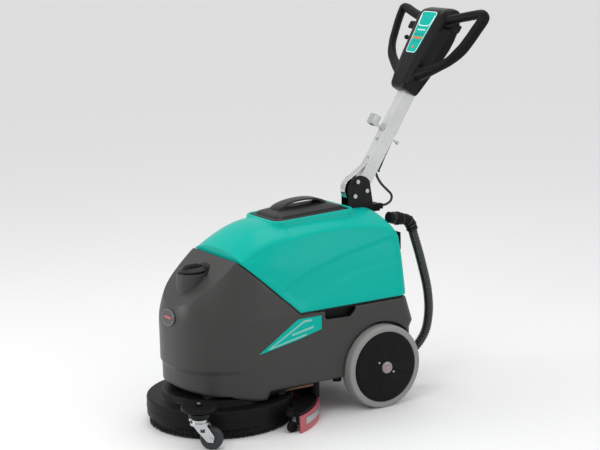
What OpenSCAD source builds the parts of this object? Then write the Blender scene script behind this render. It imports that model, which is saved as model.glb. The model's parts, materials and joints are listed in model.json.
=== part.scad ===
// Walk-behind wet-dry floor scrubber: round brush deck in front, curved squeegee behind it,
// grey solution tank, teal recovery tank on top, two large rear wheels and a folding handle.
// X points forward, Y to the left, Z up; the origin is on the floor under the middle of the box.

/* [Wheels] */
// Outside diameter of a rear wheel
wheel_d = 280; // [260:1:290]
// Width of a rear tyre
tyre_w = 55; // [40:1:60]
// Distance from the middle plane to a tyre's outer face
wheel_face_y = 233; // [230:1:240]
// Radius of the rear axle
axle_r = 8; // [7:0.5:10]

/* [Body] */
// Half width of the body at its widest
body_half_w = 207; // [203:1:210]
// Wall thickness of both tanks
wall = 6; // [5:0.5:7]
// Height of the horizontal part of the joint between the two tanks
split_z = 357; // [352:1:360]
// Gap between the two tanks, filled by the seal
seal_h = 8; // [6:0.5:10]

/* [Brush deck] */
// Radius of the round brush shroud
deck_r = 240; // [238:1:244]
// Radius of the bristle tips
brush_r = 234; // [228:1:235]
// Height of the shroud's rim
deck_rim_z = 92; // [90:1:94]

/* [Handle] */
// Lean of the column away from vertical, in degrees
lean = 33.5; // [30:0.5:36]
// Depth of the column tube
column_d = 50; // [46:1:50]
// Width of the column tube
column_w = 34; // [30:1:34]
// Radius of the loop handles
grip_r = 15; // [13:0.5:16]

/* [Squeegee] */
// Radius of the rear blade about the brush centre
blade_r = 325; // [322:1:328]
// Half of the angle that the squeegee covers
blade_half_angle = 67; // [60:1:68]

/* [Caster] */
// Radius of the caster wheel
caster_r = 36; // [33:1:38]
// Radius of the bumper roller
roller_r = 57; // [50:1:58]

/* [Hidden] */

// Places along X, counted from the rear axle
rear_x = -445.7;
front_x = 763;
axle_x = -(rear_x + front_x) / 2;
brush_x = 500;
body_rear_x = -120;
flare = 26;
flare_foot_z = 272;
split_x = 307;
front_edge_x = 490;
fit = 0.05;
wheel_r = wheel_d / 2;
hub_r = wheel_r - 22;
arch_r = wheel_r + 10;
well_y = wheel_face_y - tyre_w - 8;
teal = "#10b09c";
grey = "#55534f";
black = "#26262a";
steel = "#b9bcc0";

module place() translate([axle_x, 0, 0]) children();
module mirrored() { children(); mirror([0, 1, 0]) children(); }

// Frame of the column: +Z along it, +X on its front side
pivot_x = -56;
pivot_z = 696;
fold_u = -17;
fold_w = 9;
fold_x = pivot_x + fold_u * cos(lean) - fold_w * sin(lean);
fold_z = pivot_z + fold_u * sin(lean) + fold_w * cos(lean);
module on_column() translate([pivot_x, 0, pivot_z]) rotate([0, -lean, 0]) children();

// ---- Outer form shared by the two tanks ----
// The nose leans back above nose_z, the sides draw in above side_z
nose_x = 681;
nose_len = 270;
nose_z = 330;
nose_curve = 0.00185;
side_z = 360;
side_taper = 0.2;
corner_r = 40;
split_slope = 0.95;
function nose_at(z) = nose_x - nose_curve * pow(max(z - nose_z, 0), 2) - (z < 205 ? 5 : 0);
function half_w(z) = body_half_w - side_taper * max(z - side_z, 0) - (z < 205 ? 4 : 0);
// The rear face leans out below the joint and steps back in above the wheel arches
function rear_at(z) = body_rear_x - flare * min(max((split_z - z) / (split_z - flare_foot_z), 0), 1)
    + 12 * min(max((flare_foot_z - z) / 22, 0), 1);
function split_at(x) = split_z + split_slope * max(x - split_x, 0);

// One half of the outline at height z: nose, straight side, rounded rear corner
nose_angles = [for (i = [0:8]) 4 + 86 * i / 8];
side_steps = [0.34, 0.67, 1];
rear_steps = [1, 0.72, 0.44, 0.2, 0];
corner_angles = [22, 45, 68, 90];
function nose_pt(z, q, in) = let (b = half_w(z) - in, c = nose_at(z) - nose_len)
    [c + (nose_len - in) * pow(cos(q), 0.8), b * pow(sin(q), 0.8)];
function half_outline(z, in) =
    let (b = half_w(z) - in, c = nose_at(z) - nose_len, rx = rear_at(z) + in, r = corner_r - in / 2)
    concat(
        [for (q = nose_angles) nose_pt(z, q, in)],
        [for (f = side_steps) [c + (split_x - c) * f, b]],
        [for (f = rear_steps) if (f < 1) [rx + r + (split_x - rx - r) * f, b]],
        [for (q = corner_angles) [rx + r - r * sin(q), b - r + r * cos(q)]]);
cols = len(half_outline(200, 0));

// Height at which column i of the outline meets the joint, by halving the interval
function meet_z(i, in, lo = 300, hi = 600, n = 12) =
    let (mid = (lo + hi) / 2, x = half_outline(mid, in)[i][0])
    n == 0 ? mid : mid < split_at(x) ? meet_z(i, in, mid, hi, n - 1) : meet_z(i, in, lo, mid, n - 1);
function skirt_z(x) = x > 438 ? 100 + 0.19 * max(x - 470, 0) : 125;

// A solid between two mirrored halves: rows of points from bottom to top, each row one half ring
module ladder(rows) {
    n = len(rows[0]);
    m = len(rows);
    left = [for (r = rows) for (p = r) p];
    right = [for (p = left) [p[0], -p[1], p[2]]];
    k = n * m;
    polyhedron(points = concat(left, right), convexity = 8, faces = concat(
        [for (j = [0:m - 2]) for (i = [0:n - 2])
            [j * n + i, (j + 1) * n + i, (j + 1) * n + i + 1, j * n + i + 1]],
        [for (j = [0:m - 2]) for (i = [0:n - 2])
            [k + j * n + i, k + j * n + i + 1, k + (j + 1) * n + i + 1, k + (j + 1) * n + i]],
        [for (j = [0:m - 2]) [j * n, k + j * n, k + (j + 1) * n, (j + 1) * n]],
        [for (j = [0:m - 2])
            [j * n + n - 1, (j + 1) * n + n - 1, k + (j + 1) * n + n - 1, k + j * n + n - 1]],
        [for (i = [0:n - 2]) [i, i + 1, k + i + 1, k + i]],
        [for (i = [0:n - 2]) [k + k - n + i, k + k - n + i + 1, k - n + i + 1, k - n + i]]));
}

// Body form between its skirt and the joint, drawn in by in and cut down by drop at the top
// A bottom of 0 follows the skirt; the flare's two bends get a row of their own
function body_row(t, in, bottom, drop) = [for (i = [0:cols - 1])
    let (zt = meet_z(i, in) - drop,
         zb = bottom == 0 ? skirt_z(half_outline(150, in)[i][0]) : bottom,
         z = zb + (zt - zb) * t, p = half_outline(z, in)[i]) [p[0], p[1], z]];
module body_form(in, bottom, drop) {
    ladder([for (t = [0, 0.2, 0.4, 0.54, 0.634, 0.72, 0.82, 0.92, 1]) body_row(t, in, bottom, drop)]);
}

// Recovery tank: cross-sections along X
tank_xs = [490, 478, 455, 425, 390, 350, 307, 260, 200, 120, 40, -40, -85, -105, -116, -120];
function rear_pull(x) = x > -80 ? 0 : 36 - sqrt(max(36 * 36 - pow(-80 - x, 2) * 0.81, 0));
function tank_side(x, z) = let (c = nose_at(z) - nose_len)
    (x > c ? half_w(z) * pow(1 - pow((x - c) / nose_len, 2.5), 0.4) : half_w(z)) - rear_pull(x);
function crown_z(x) = x > 330 ? 645 - 0.0029 * pow(x - 330, 2)
    : x > -60 ? 649 - 0.00014 * pow(x - 160, 2) : 642 - 0.0135 * pow(x + 60, 2) - (-60 - x) * 0.2;
function shoulder_z(x) = x > 300 ? 604 - 0.00155 * pow(x - 300, 2)
    : x > -60 ? 613 - 0.00048 * pow(x - 140, 2) : 592 - 0.012 * pow(x + 60, 2);
function tank_row(x, in) =
    let (zb = split_at(x) + seal_h + in, zs = max(shoulder_z(x) - in, zb + 2),
         zc = max(crown_z(x) - in, zb + 4), yb = tank_side(x, zb) - in,
         ys = min(tank_side(x, zs) - in, 166 - in), ym = tank_side(x, (zb + zs) / 2) - in)
    [[x, yb, zb], [x, ym * 0.5 + yb * 0.5, zb + (zs - zb) * 0.3], [x, ym, zb + (zs - zb) * 0.62],
     [x, ys + 5, zs - min(16, (zs - zb) / 4)], [x, ys - 4, zs],
     [x, ys * 0.72, zs + (zc - zs) * 0.55], [x, ys * 0.4, zs + (zc - zs) * 0.92], [x, 3, zc]];
module tank_form(in, first, last) {
    xs = [for (x = tank_xs) if (x > first && x < last) x];
    ladder([for (j = [0:7]) [for (x = xs) let (p = tank_row(x, in)[j]) p]]);
}

// ---- Sweeps for hoses, cables and loop handles ----
function unit(v) = v / norm(v);
function tangent(p, i) = unit(p[min(i + 1, len(p) - 1)] - p[max(i - 1, 0)]);
module sweep(path, r, sides, side_dir) {
    n = len(path);
    pts = [for (i = [0:n - 1])
        let (t = tangent(path, i), u = unit(cross(t, side_dir)), v = cross(t, u))
        for (k = [0:sides - 1]) path[i] + r * (cos(360 * k / sides) * u + sin(360 * k / sides) * v)];
    polyhedron(points = pts, convexity = 6, faces = concat(
        [for (i = [0:n - 2]) for (k = [0:sides - 1])
            let (a = i * sides + k, b = i * sides + (k + 1) % sides) [a, a + sides, b + sides, b]],
        [[for (k = [0:sides - 1]) k]],
        [[for (k = [sides - 1:-1:0]) (n - 1) * sides + k]]));
}
// Catmull-Rom points through p, with n steps between two of them
function spline(p, n) = concat([for (i = [0:len(p) - 2]) for (s = [0:n - 1])
    let (t = s / n, a = p[max(i - 1, 0)], b = p[i], c = p[i + 1], d = p[min(i + 2, len(p) - 1)])
    0.5 * (2 * b + (c - a) * t + (2 * a - 5 * b + 4 * c - d) * t * t
           + (3 * b - a - 3 * c + d) * t * t * t)], [p[len(p) - 1]]);

// ---- Chassis ----
rail_z = 115;
module rails() mirrored() translate([-100, 105, rail_z]) cube([720, 30, 15.7]);
module chassis_frame() place() color(black) difference() {
    union() {
        rails();
        translate([-100, -135, 131]) cube([95, 270, 6]);
        translate([280, -135, 131]) cube([40, 270, 6]);
        translate([30, -135, 131]) cube([160, 270, 19]);
        translate([-100, -17.5, 137]) cube([95, 35, 463]);
        translate([-60, 70, 137]) cube([30, 40, 13]);
        mirrored() translate([-22, 135, rail_z]) cube([44, 12, 35]);
    }
    translate([0, -160, wheel_r]) rotate([-90, 0, 0]) cylinder(h = 320, r = axle_r, $fn = 48);
    translate([-94, -12, 150]) cube([83, 24, 480]);
}

// Solution tank: the grey outer body, hollow in front, with an open bay behind
neck_x = 588;
neck_r = 49;
neck_top = 503;
bay_x0 = -108;
bay_x1 = 196;
motor_pocket_r = 96;
facet_tilt = 40;
facet_x = 500;
facet_z = 551;
pocket_r = 58;
module nose_facet(depth) translate([facet_x, 0, facet_z - depth]) rotate([0, facet_tilt, 0])
    translate([-30, -180, 0]) cube([300, 360, 90]);
module solution_tank() place() color(grey) resize([0, 0, 0]) difference() {
    union() {
        difference() {
            body_form(0, 0, 0);
            // Flat facet on the nose, behind the filler neck
            nose_facet(0);
            translate([neck_x, 0, 497]) cylinder(h = 90, r = pocket_r, $fn = 40);
        }
        translate([neck_x, 0, 400]) cylinder(h = neck_top - 400, r = neck_r, $fn = 48);
    }
    // Front chamber
    difference() {
        body_form(wall, 152, 7);
        translate([-200, -250, 100]) cube([bay_x1 + wall + 200, 500, 500]);
        nose_facet(7);
        translate([neck_x, 0, 490]) cylinder(h = 90, r = pocket_r + 8, $fn = 40);
        translate([brush_x, 0, 90]) cylinder(h = 236, r = motor_pocket_r + wall, $fn = 40);
    }
    translate([neck_x, 0, 350]) cylinder(h = 200, r = neck_r - 7, $fn = 48);
    // Pocket for the brush motor, room for the deck and the squeegee links
    translate([brush_x, 0, 80]) cylinder(h = 240, r = motor_pocket_r, $fn = 40);
    translate([brush_x, 0, 80]) cylinder(h = 46, r = 190, $fn = 64);
    translate([185, -186, 90]) cube([250, 372, 56]);
    mirrored() translate([150, 98, 90]) cube([480, 44, 44]);
    // Rear bay, wheel arches, axle tunnel and slot for the post
    translate([bay_x0, -160, 90]) cube([bay_x1 - bay_x0, 320, 400]);
    mirrored() translate([0, well_y, wheel_r]) rotate([-90, 0, 0]) cylinder(h = 100, r = arch_r, $fn = 72);
    translate([0, -200, wheel_r]) rotate([-90, 0, 0]) cylinder(h = 400, r = 13, $fn = 24);
    translate([-170, 50, 90]) cube([80, 40, 42]);
    // Grip recesses under the recovery tank
    mirrored() translate([98, 186, 327]) cube([118, 60, 60]);
}

// Seal between the tanks
function seal_row(up, in) = [for (i = [0:cols - 1])
    let (z = meet_z(i, in), p = half_outline(z, in)[i]) [p[0], p[1], z + up]];
module seal_form(up, in) difference() {
    ladder([seal_row(-up, in), seal_row(seal_h + up, in)]);
    translate([front_edge_x - in, -300, 300]) cube([200, 600, 400]);
}
module tank_seal() place() color(black) resize([0, 0, 0]) difference() {
    seal_form(-0.7, 5);
    seal_form(20, 24);
    translate([-130, -31, 300]) cube([60, 62, 120]);
}

// Recovery tank with its lid opening and the slot for the post
lid_x0 = 32;
lid_x1 = 322;
lid_half_w = 92;
mouth_z = 640;
lid_tilt = 2;
module on_lid_seat() translate([lid_x1, 0, mouth_z]) rotate([0, lid_tilt, 0])
    translate([-lid_x1, 0, -mouth_z])
    children();
module rounded_bar(x0, x1, hw, r, h)
    hull() for (x = [x0 + r, x1 - r]) for (y = [-hw + r, hw - r]) translate([x, y, 0])
        cylinder(h = h, r = r, $fn = 32);
module recovery_tank() place() color(teal) resize([0, 0, 0]) difference() {
    union() {
        difference() {
            tank_form(0, -999, 999);
            difference() {
                tank_form(wall, -112, 480);
                translate([-130, -36, 300]) cube([152, 72, 400]);
            }
        }
        // Raised rim and seat of the lid
        on_lid_seat() hull() {
            translate([0, 0, mouth_z - 18]) rounded_bar(lid_x0 - 18, lid_x1 + 18, lid_half_w + 20, 34, 2);
            translate([0, 0, mouth_z + 6]) rounded_bar(lid_x0 - 11, lid_x1 + 11, lid_half_w + 11, 28, 2);
        }
    }
    on_lid_seat() translate([0, 0, 560]) rounded_bar(lid_x0 + 16, lid_x1 - 16, lid_half_w - 14, 18, 120);
    on_lid_seat() translate([0, 0, mouth_z - 4.3])
        rounded_bar(lid_x0 - 1, lid_x1 + 1, lid_half_w + 1, 22, 60);
    translate([-130, -30, 300]) cube([146, 60, 400]);
}

// Lid: shallow crowned cover with an arched grab handle
lid_handle_x = 181;
lid_top_z = mouth_z + 31;
module lid_handle_slice(half_len, rise, z, width)
    translate([lid_handle_x, width / 2, z]) rotate([90, 0, 0]) linear_extrude(width)
        polygon([for (i = [0:14]) let (q = 180 * i / 14) [-half_len * cos(q), rise * sin(q)]]);
module lid() place() on_lid_seat() color(black) difference() {
    union() {
        hull() {
            translate([0, 0, mouth_z]) rounded_bar(lid_x0, lid_x1, lid_half_w, 22, 8);
            translate([0, 0, mouth_z + 15]) rounded_bar(lid_x0 + 14, lid_x1 - 16, lid_half_w - 14, 22, 2);
            translate([0, 0, lid_top_z - 2]) rounded_bar(lid_x0 + 46, lid_x1 - 50, lid_half_w - 50, 22, 2);
        }
        lid_handle_slice(96, 29, lid_top_z - 8, 52);
    }
    lid_handle_slice(72, 15, lid_top_z, 80);
}
module lid_gasket() place() on_lid_seat() color(black) difference() {
    translate([0, 0, mouth_z - 4]) rounded_bar(lid_x0 + 4, lid_x1 - 4, lid_half_w - 4, 20, 4);
    translate([0, 0, mouth_z - 9]) rounded_bar(lid_x0 + 14, lid_x1 - 14, lid_half_w - 14, 18, 20);
}

// Filler cap with its grip bar, and the gasket it turns on
module filler_cap() place() color(black) translate([neck_x, 0, neck_top + 3]) {
    cylinder(h = 6, r = 46, $fn = 64);
    translate([0, 0, 6]) cylinder(h = 5, r = 40, $fn = 64);
    translate([-34, -6, 11]) cube([68, 12, 14]);
}
module filler_gasket() place() color(black) translate([neck_x, 0, 0]) difference() {
    union() {
        translate([0, 0, neck_top + 0.3]) cylinder(h = 2.4, r = 45, $fn = 64);
        translate([0, 0, neck_top - 12]) cylinder(h = 13, r = neck_r - 7.4, $fn = 64);
    }
    translate([0, 0, neck_top - 20]) cylinder(h = 40, r = 34, $fn = 64);
}

// Inner equipment
module vacuum_motor() place() color(steel) translate([-18, 90, 150]) {
    cylinder(h = 60, r = 54, $fn = 48);
    translate([0, 0, 60]) cylinder(h = 66, r = 42, $fn = 48);
}
module batteries() place() color("#3a3f46") mirrored() {
    translate([50, 4, 150]) cube([135, 148, 165]);
    translate([75, 30, 315]) cylinder(h = 14, r = 8, $fn = 24);
    translate([75, 120, 315]) cylinder(h = 14, r = 8, $fn = 24);
}
module float_valve() place() color("white") translate([60, 110, 0]) difference() {
    translate([0, 0, 371]) cylinder(h = 190, r = 24, $fn = 40);
    translate([0, 0, 380]) cylinder(h = 200, r = 21, $fn = 40);
    for (z = [400:30:520]) translate([-40, -4, z]) cube([80, 8, 18]);
}

// Trim
module decal_shape() polygon([[467, 254], [300, 347], [231, 347], [230, 303], [420, 262]]);
module side_decals() place() color(teal) mirrored()
    translate([0, body_half_w + 1.2, 0]) rotate([90, 0, 0]) intersection() {
        linear_extrude(1.2) decal_shape();
        translate([215, 240, -1]) cube([260, 120, 3]);
    }
badge_h = 29;
badge_w = 44;
module front_badge() place() color("#30302f") translate([674.5, 0, 367]) rotate([0, 82, 0]) linear_extrude(7)
    polygon([for (i = [0:47]) [badge_h * cos(7.5 * i), badge_w * sin(7.5 * i)]]);
module drain_caps() place() color(black) {
    translate([150, 168, 104]) cylinder(h = 21, r = 15, $fn = 32);
    translate([150, -168, 104]) cylinder(h = 21, r = 15, $fn = 32);
}
module rear_bumper() place() color(black) mirrored() translate([-129, 112, 0]) hull() {
    translate([3, 0, 506]) cube([6, 36, 60]);
    translate([0, 4, 510]) cube([3, 28, 52]);
}

// ---- Rear wheels ----
module axle() place() color(steel) translate([0, -wheel_face_y - 3, wheel_r]) rotate([-90, 0, 0]) {
    cylinder(h = 2 * wheel_face_y + 6, r = axle_r, $fn = 48);
    for (y = [60, 2 * wheel_face_y - 54]) translate([0, 0, y - 3]) cylinder(h = 6, r = 14, $fn = 48);
}
module on_wheel(side) place() mirror([0, side < 0 ? 1 : 0, 0])
    translate([0, wheel_face_y, wheel_r]) rotate([90, 0, 0]) children();
module tyre(side) on_wheel(side) color("#8d8f91") rotate_extrude($fn = 120)
    polygon([[hub_r, 0], [wheel_r - 5, 0], [wheel_r, 6], [wheel_r, tyre_w - 6],
             [wheel_r - 5, tyre_w], [hub_r, tyre_w]]);
module hub(side) on_wheel(side) color(black) difference() {
    rotate_extrude($fn = 120) polygon([[0, -5], [hub_r - 14, -5], [hub_r - 6, -2], [hub_r, -2],
        [hub_r, tyre_w - 2], [hub_r - 8, tyre_w - 2], [hub_r - 8, 10], [30, 10], [30, tyre_w - 2],
        [0, tyre_w - 2]]);
    translate([0, 0, -20]) cylinder(h = 120, r = axle_r + fit, $fn = 48);
}
module hub_cap(side) on_wheel(side) color(steel) translate([0, 0, -14]) difference() {
    union() { cylinder(h = 9, r = 19, $fn = 48); cylinder(h = 4, r = 16, $fn = 48); }
    translate([0, 0, 5]) cylinder(h = 20, r = axle_r + 1, $fn = 48);
}
module tyre_left() tyre(1);
module tyre_right() tyre(-1);
module hub_left() hub(1);
module hub_right() hub(-1);
module hub_cap_left() hub_cap(1);
module hub_cap_right() hub_cap(-1);

// ---- Brush deck ----
module at_brush() place() translate([brush_x, 0, 0]) children();
module deck_shroud() at_brush() color(black) rotate_extrude($fn = 160) polygon([
    [deck_r - 5, 32], [deck_r, 32], [deck_r, deck_rim_z - 4], [deck_r - 4, deck_rim_z],
    [190, deck_rim_z], [185, 115], [26, 115], [26, 109], [180, 109], [185, deck_rim_z - 5],
    [deck_r - 5, deck_rim_z - 6]]);
module deck_bolts() at_brush() color(steel) {
    for (q = [30:60:330]) rotate([0, 0, q]) translate([64, 0, 102]) cylinder(h = 7, r = 7, $fn = 6);
    for (q = [38, -38]) rotate([0, 0, q]) translate([deck_r, 0, 66]) rotate([0, 90, 0])
        cylinder(h = 3, r = 6, $fn = 6);
}
module brush_motor() at_brush() color(steel) difference() {
    rotate_extrude($fn = 96) polygon([[0, 115], [84, 115], [84, 148], [70, 154], [70, 276], [60, 284],
        [0, 284]]);
    translate([0, 0, 158]) cylinder(h = 116, r = 60, $fn = 64);
    translate([0, 0, 145]) cylinder(h = 20, r = 8 + fit, $fn = 48);
    translate([0, 0, 100]) cylinder(h = 38, r = 12 + fit, $fn = 48);
}
module motor_rotor() at_brush() color("#a8622e") {
    translate([0, 0, 164]) cylinder(h = 96, r = 52, $fn = 64);
    translate([0, 0, 147]) cylinder(h = 124, r = 8, $fn = 48);
}
module drive_hub() at_brush() color(steel) {
    translate([0, 0, 84]) cylinder(h = 52, r = 12, $fn = 48);
    translate([0, 0, 72]) cylinder(h = 12, r = 50, $fn = 64);
}
module brush_plate() at_brush() color(black) rotate_extrude($fn = 120) polygon([
    [58, 45], [216, 45], [216, 56], [120, 62], [80, 72], [0, 72], [0, 60], [58, 60]]);
module bristles() at_brush() color(black) rotate_extrude($fn = 120) polygon([
    [58, 0], [brush_r, 0], [226, 24], [214, 45], [58, 45]]);

// ---- Front bumper roller and caster, on the left ----
stem_x = 706;
stem_y = 239;
trail = 37;
trail_angle = 140;
module at_stem() place() translate([stem_x, stem_y, 0]) children();
module on_fork() at_stem() rotate([0, 0, trail_angle]) children();
module caster_bracket() place() color(black) union() {
    difference() {
        hull() {
            translate([stem_x, stem_y, 97]) cylinder(h = 8, r = 24, $fn = 32);
            translate([630, 150, deck_rim_z]) cylinder(h = 13, r = 22, $fn = 32);
        }
        translate([brush_x, 0, 80]) cylinder(h = 60, r = 190, $fn = 96);
        translate([stem_x, stem_y, 80]) cylinder(h = 17, r = 34, $fn = 48);
    }
    translate([stem_x, stem_y, 79]) cylinder(h = 19, r = 8, $fn = 48);
    translate([stem_x, stem_y, 105]) cylinder(h = 12, r = 34, $fn = 48);
    translate([stem_x, stem_y, 117]) cylinder(h = 6, r = 20, $fn = 48);
    translate([stem_x, stem_y, 123]) cylinder(h = 18, r = 8, $fn = 48);
    translate([stem_x, stem_y, 141]) cylinder(h = 5, r = 11, $fn = 6);
}
module bumper_roller() at_stem() color(black) difference() {
    rotate_extrude($fn = 96) polygon([[0, 123.5], [34, 123.5], [36, 127], [roller_r - 3, 127],
        [roller_r, 130], [roller_r, 137], [roller_r - 3, 140], [0, 140]]);
    translate([0, 0, 100]) cylinder(h = 60, r = 8 + fit, $fn = 48);
}
module caster_fork() on_fork() color(steel) difference() {
    union() {
        translate([0, 0, 88]) cylinder(h = 8.6, r = 24, $fn = 48);
        translate([0, 0, 80]) cylinder(h = 8, r = 30, $fn = 48);
        translate([-16, -19.5, 77]) cube([40, 39, 4]);
        mirrored() translate([0, 19.5, 0]) rotate([90, 0, 0]) linear_extrude(3)
            polygon([[-18, 81], [26, 81], [trail + 12, 46], [trail + 8, 26], [trail - 10, 27], [-4, 62]]);
    }
    translate([trail, 30, caster_r]) rotate([90, 0, 0]) cylinder(h = 60, r = 4, $fn = 32);
    translate([6, -30, 58]) cube([14, 60, 12]);
    translate([0, 0, 70]) cylinder(h = 40, r = 8 + fit, $fn = 48);
}
module caster_wheel() on_fork() color("#8d8f91")
    translate([trail, 12, caster_r]) rotate([90, 0, 0]) difference() {
        rotate_extrude($fn = 96) polygon([[0, -3], [14, -3], [14, 0], [caster_r - 4, 0], [caster_r, 4],
            [caster_r, 20], [caster_r - 4, 24], [14, 24], [14, 27], [0, 27]]);
        translate([0, 0, -10]) cylinder(h = 60, r = 4 + fit, $fn = 32);
    }
module caster_axle() on_fork() color(steel) translate([trail, 23, caster_r]) rotate([90, 0, 0]) {
    cylinder(h = 46, r = 4, $fn = 32);
    cylinder(h = 3.2, r = 7, $fn = 6);
    translate([0, 0, 42.8]) cylinder(h = 3.2, r = 7, $fn = 6);
}

// ---- Squeegee ----
module arc_band(r0, r1, z0, z1, half) rotate([0, 0, 180 - half]) rotate_extrude(angle = 2 * half, $fn = 120)
    polygon([[r0, z0], [r1, z0], [r1, z1], [r0, z1]]);
port_x = 219 - brush_x;
port_y = 70;
end_x = 390 - brush_x;
end_y = 272;
module squeegee_frame() at_brush() color(black) difference() {
    union() {
        arc_band(blade_r - 60, blade_r - 12, 52, 66, blade_half_angle);
        arc_band(blade_r - 21, blade_r - 7, 26, 66, blade_half_angle);
        mirrored() {
            translate([end_x, end_y - 10, 56]) cylinder(h = 14, r = 17, $fn = 40);
            translate([end_x, end_y - 10, 70]) cylinder(h = 10, r = 11, $fn = 6);
            translate([end_x - 5, end_y - 13, 30]) cube([10, 5, 30]);
            translate([end_x, end_y - 8, 18]) rotate([90, 0, 0]) cylinder(h = 5, r = 9, $fn = 32);
            translate([end_x - 5, end_y - 13, 18]) cube([10, 5, 14]);
            translate([end_x, end_y - 8.5, 18]) rotate([-90, 0, 0]) cylinder(h = 17, r = 4, $fn = 32);
            translate([228 - 8 - brush_x, 143, 60]) cube([16, 5, 52]);
            translate([228 - 8 - brush_x, 163, 60]) cube([16, 5, 52]);
        }
    }
    translate([port_x, port_y, 40]) cylinder(h = 60, r = 22, $fn = 48);
}
module blade_front() at_brush() color("#d8505c") difference() {
    arc_band(blade_r - 27, blade_r - 21.3, 3, 52, blade_half_angle - 4);
    translate([port_x, port_y, 40]) cylinder(h = 20, r = 19, $fn = 48);
}
module blade_rear() at_brush() color("#d8505c") arc_band(blade_r - 6.7, blade_r, 0, 56, blade_half_angle);
module blade_clamp() at_brush() color(steel) mirrored() difference() {
    rotate([0, 0, 180 - blade_half_angle + 5]) rotate_extrude(angle = 50, $fn = 120)
        polygon([[blade_r + 0.1, 24], [blade_r + 2.6, 24], [blade_r + 2.6, 46], [blade_r + 0.1, 46]]);
    translate([-500, -400, 0]) cube([700, 410, 80]);
}
module end_roller() at_brush() color(black)
    translate([end_x, end_y - 7.5, 18]) rotate([-90, 0, 0]) difference() {
        rotate_extrude($fn = 64) polygon([[0, 0], [16, 0], [17.7, 2], [17.7, 10], [16, 12], [0, 12]]);
        translate([0, 0, -5]) cylinder(h = 30, r = 4 + fit, $fn = 32);
    }
module end_roller_left() end_roller();
module end_roller_right() mirror([0, 1, 0]) end_roller();
link_z = 104;
link_x0 = 362;
link_x1 = 228;
module lift_links() place() color("#8a5a44") mirrored() translate([0, 155.5, link_z]) {
    translate([link_x1 + 4, 0, 0]) rotate([0, 90, 0]) cylinder(h = link_x0 - link_x1 - 8, r = 6.3, $fn = 32);
    for (x = [link_x0, link_x1]) translate([x, 5, 0]) rotate([90, 0, 0]) difference() {
        cylinder(h = 10, r = 8.5, $fn = 32);
        translate([0, 0, -2]) cylinder(h = 20, r = 3 + fit, $fn = 32);
    }
}
module lift_brackets() place() color(black) mirrored() {
    translate([link_x0 - 10, 143, deck_rim_z + 1]) cube([24, 5, 20]);
    translate([link_x0 - 10, 163, deck_rim_z + 1]) cube([24, 5, 20]);
    translate([link_x0 + 9, 143, deck_rim_z + 1]) cube([5, 25, 20]);
    translate([link_x0, 171, link_z]) rotate([90, 0, 0]) cylinder(h = 30, r = 3, $fn = 32);
}

// ---- Handle hinge ----
module hinge_plates() place() color(black) mirrored() translate([0, 22.5, 0]) rotate([90, 0, 0])
    difference() {
        linear_extrude(5) polygon(concat([[-106, 560], [-2, 560], [-2, 620]],
            [for (q = [-20:15:155]) [-49 + 49 * cos(q), 699 + 49 * sin(q)]], [[-106, 620]]));
        translate([fold_x, fold_z, -5]) cylinder(h = 20, r = 6, $fn = 32);
    }
module hinge_bolts() place() color(steel) {
    translate([fold_x, 30, fold_z]) rotate([90, 0, 0]) cylinder(h = 60, r = 6, $fn = 48);
    mirrored() for (p = [[fold_x, fold_z], [-39, 729], [-27, 681]]) translate([p[0], 22.5, p[1]])
        rotate([-90, 0, 0]) cylinder(h = 6, r = 8, $fn = 6);
}
// Curved strap on the front of the column's foot, drawn as an offset line
strap_t = 1.5;
strap_r = 40;
function strap_arc(r) = [for (q = [40:-13:-77]) [22 + r * cos(q), -6 + r * sin(q)]];
module fold_strap() on_place_column() color(steel) translate([0, 13, 0]) rotate([90, 0, 0]) linear_extrude(26)
    polygon(concat([[25, 104], [28, 104], [28, 82], [42, 53]], strap_arc(strap_r + strap_t),
        [for (i = [9:-1:0]) strap_arc(strap_r - strap_t)[i]], [[39, 52], [25, 80]]));
harness_r = 4.5;
module cable_box() place() color(black) difference() {
    union() {
        translate([-133, -17.5, 618]) cube([30, 35, 26]);
        translate([-151, -10, 622]) cube([18, 20, 18]);
    }
    translate([-153, 0, 632]) rotate([0, 90, 0]) cylinder(h = 14, r = harness_r + fit, $fn = 48);
}
harness_points = [[-129.3, 0, 750.6], [-132, 0, 741], [-138, 0, 727], [-152, 0, 706], [-174, 0, 684],
                  [-190, 0, 668], [-194, 0, 655], [-189, 0, 643], [-176, 0, 635], [-162, 0, 632],
                  [-153, 0, 632], [-140, 0, 632]];
module harness_loop() place() color(black) sweep(spline(harness_points, 2), harness_r, 8, [0, 1, 0]);

// ---- Handle column and head ----
column_end = 378;
module column_tube() on_place_column() color(steel) difference() {
    translate([-column_d / 2, -column_w / 2, -10]) cube([column_d, column_w, column_end + 10]);
    translate([-column_d / 2 + 3, -column_w / 2 + 3, 40]) cube([column_d - 6, column_w - 6, column_end]);
    translate([fold_u, 30, fold_w]) rotate([90, 0, 0]) cylinder(h = 60, r = 6 + fit, $fn = 48);
}
module on_place_column() place() on_column() children();
face_u = column_d / 2;
cable_top_w = 200;
module column_cable() on_place_column() color(black) {
    translate([0, 6, 0]) rotate([90, 0, 0]) linear_extrude(12) polygon([[-face_u, cable_top_w],
        [-face_u - 4, cable_top_w], [-face_u - 14, 112], [-face_u - 14, 96], [-face_u - 6, 96],
        [-face_u, 114]]);
    translate([-face_u - 16, -8, 90]) cube([16, 16, 6]);
}
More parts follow.
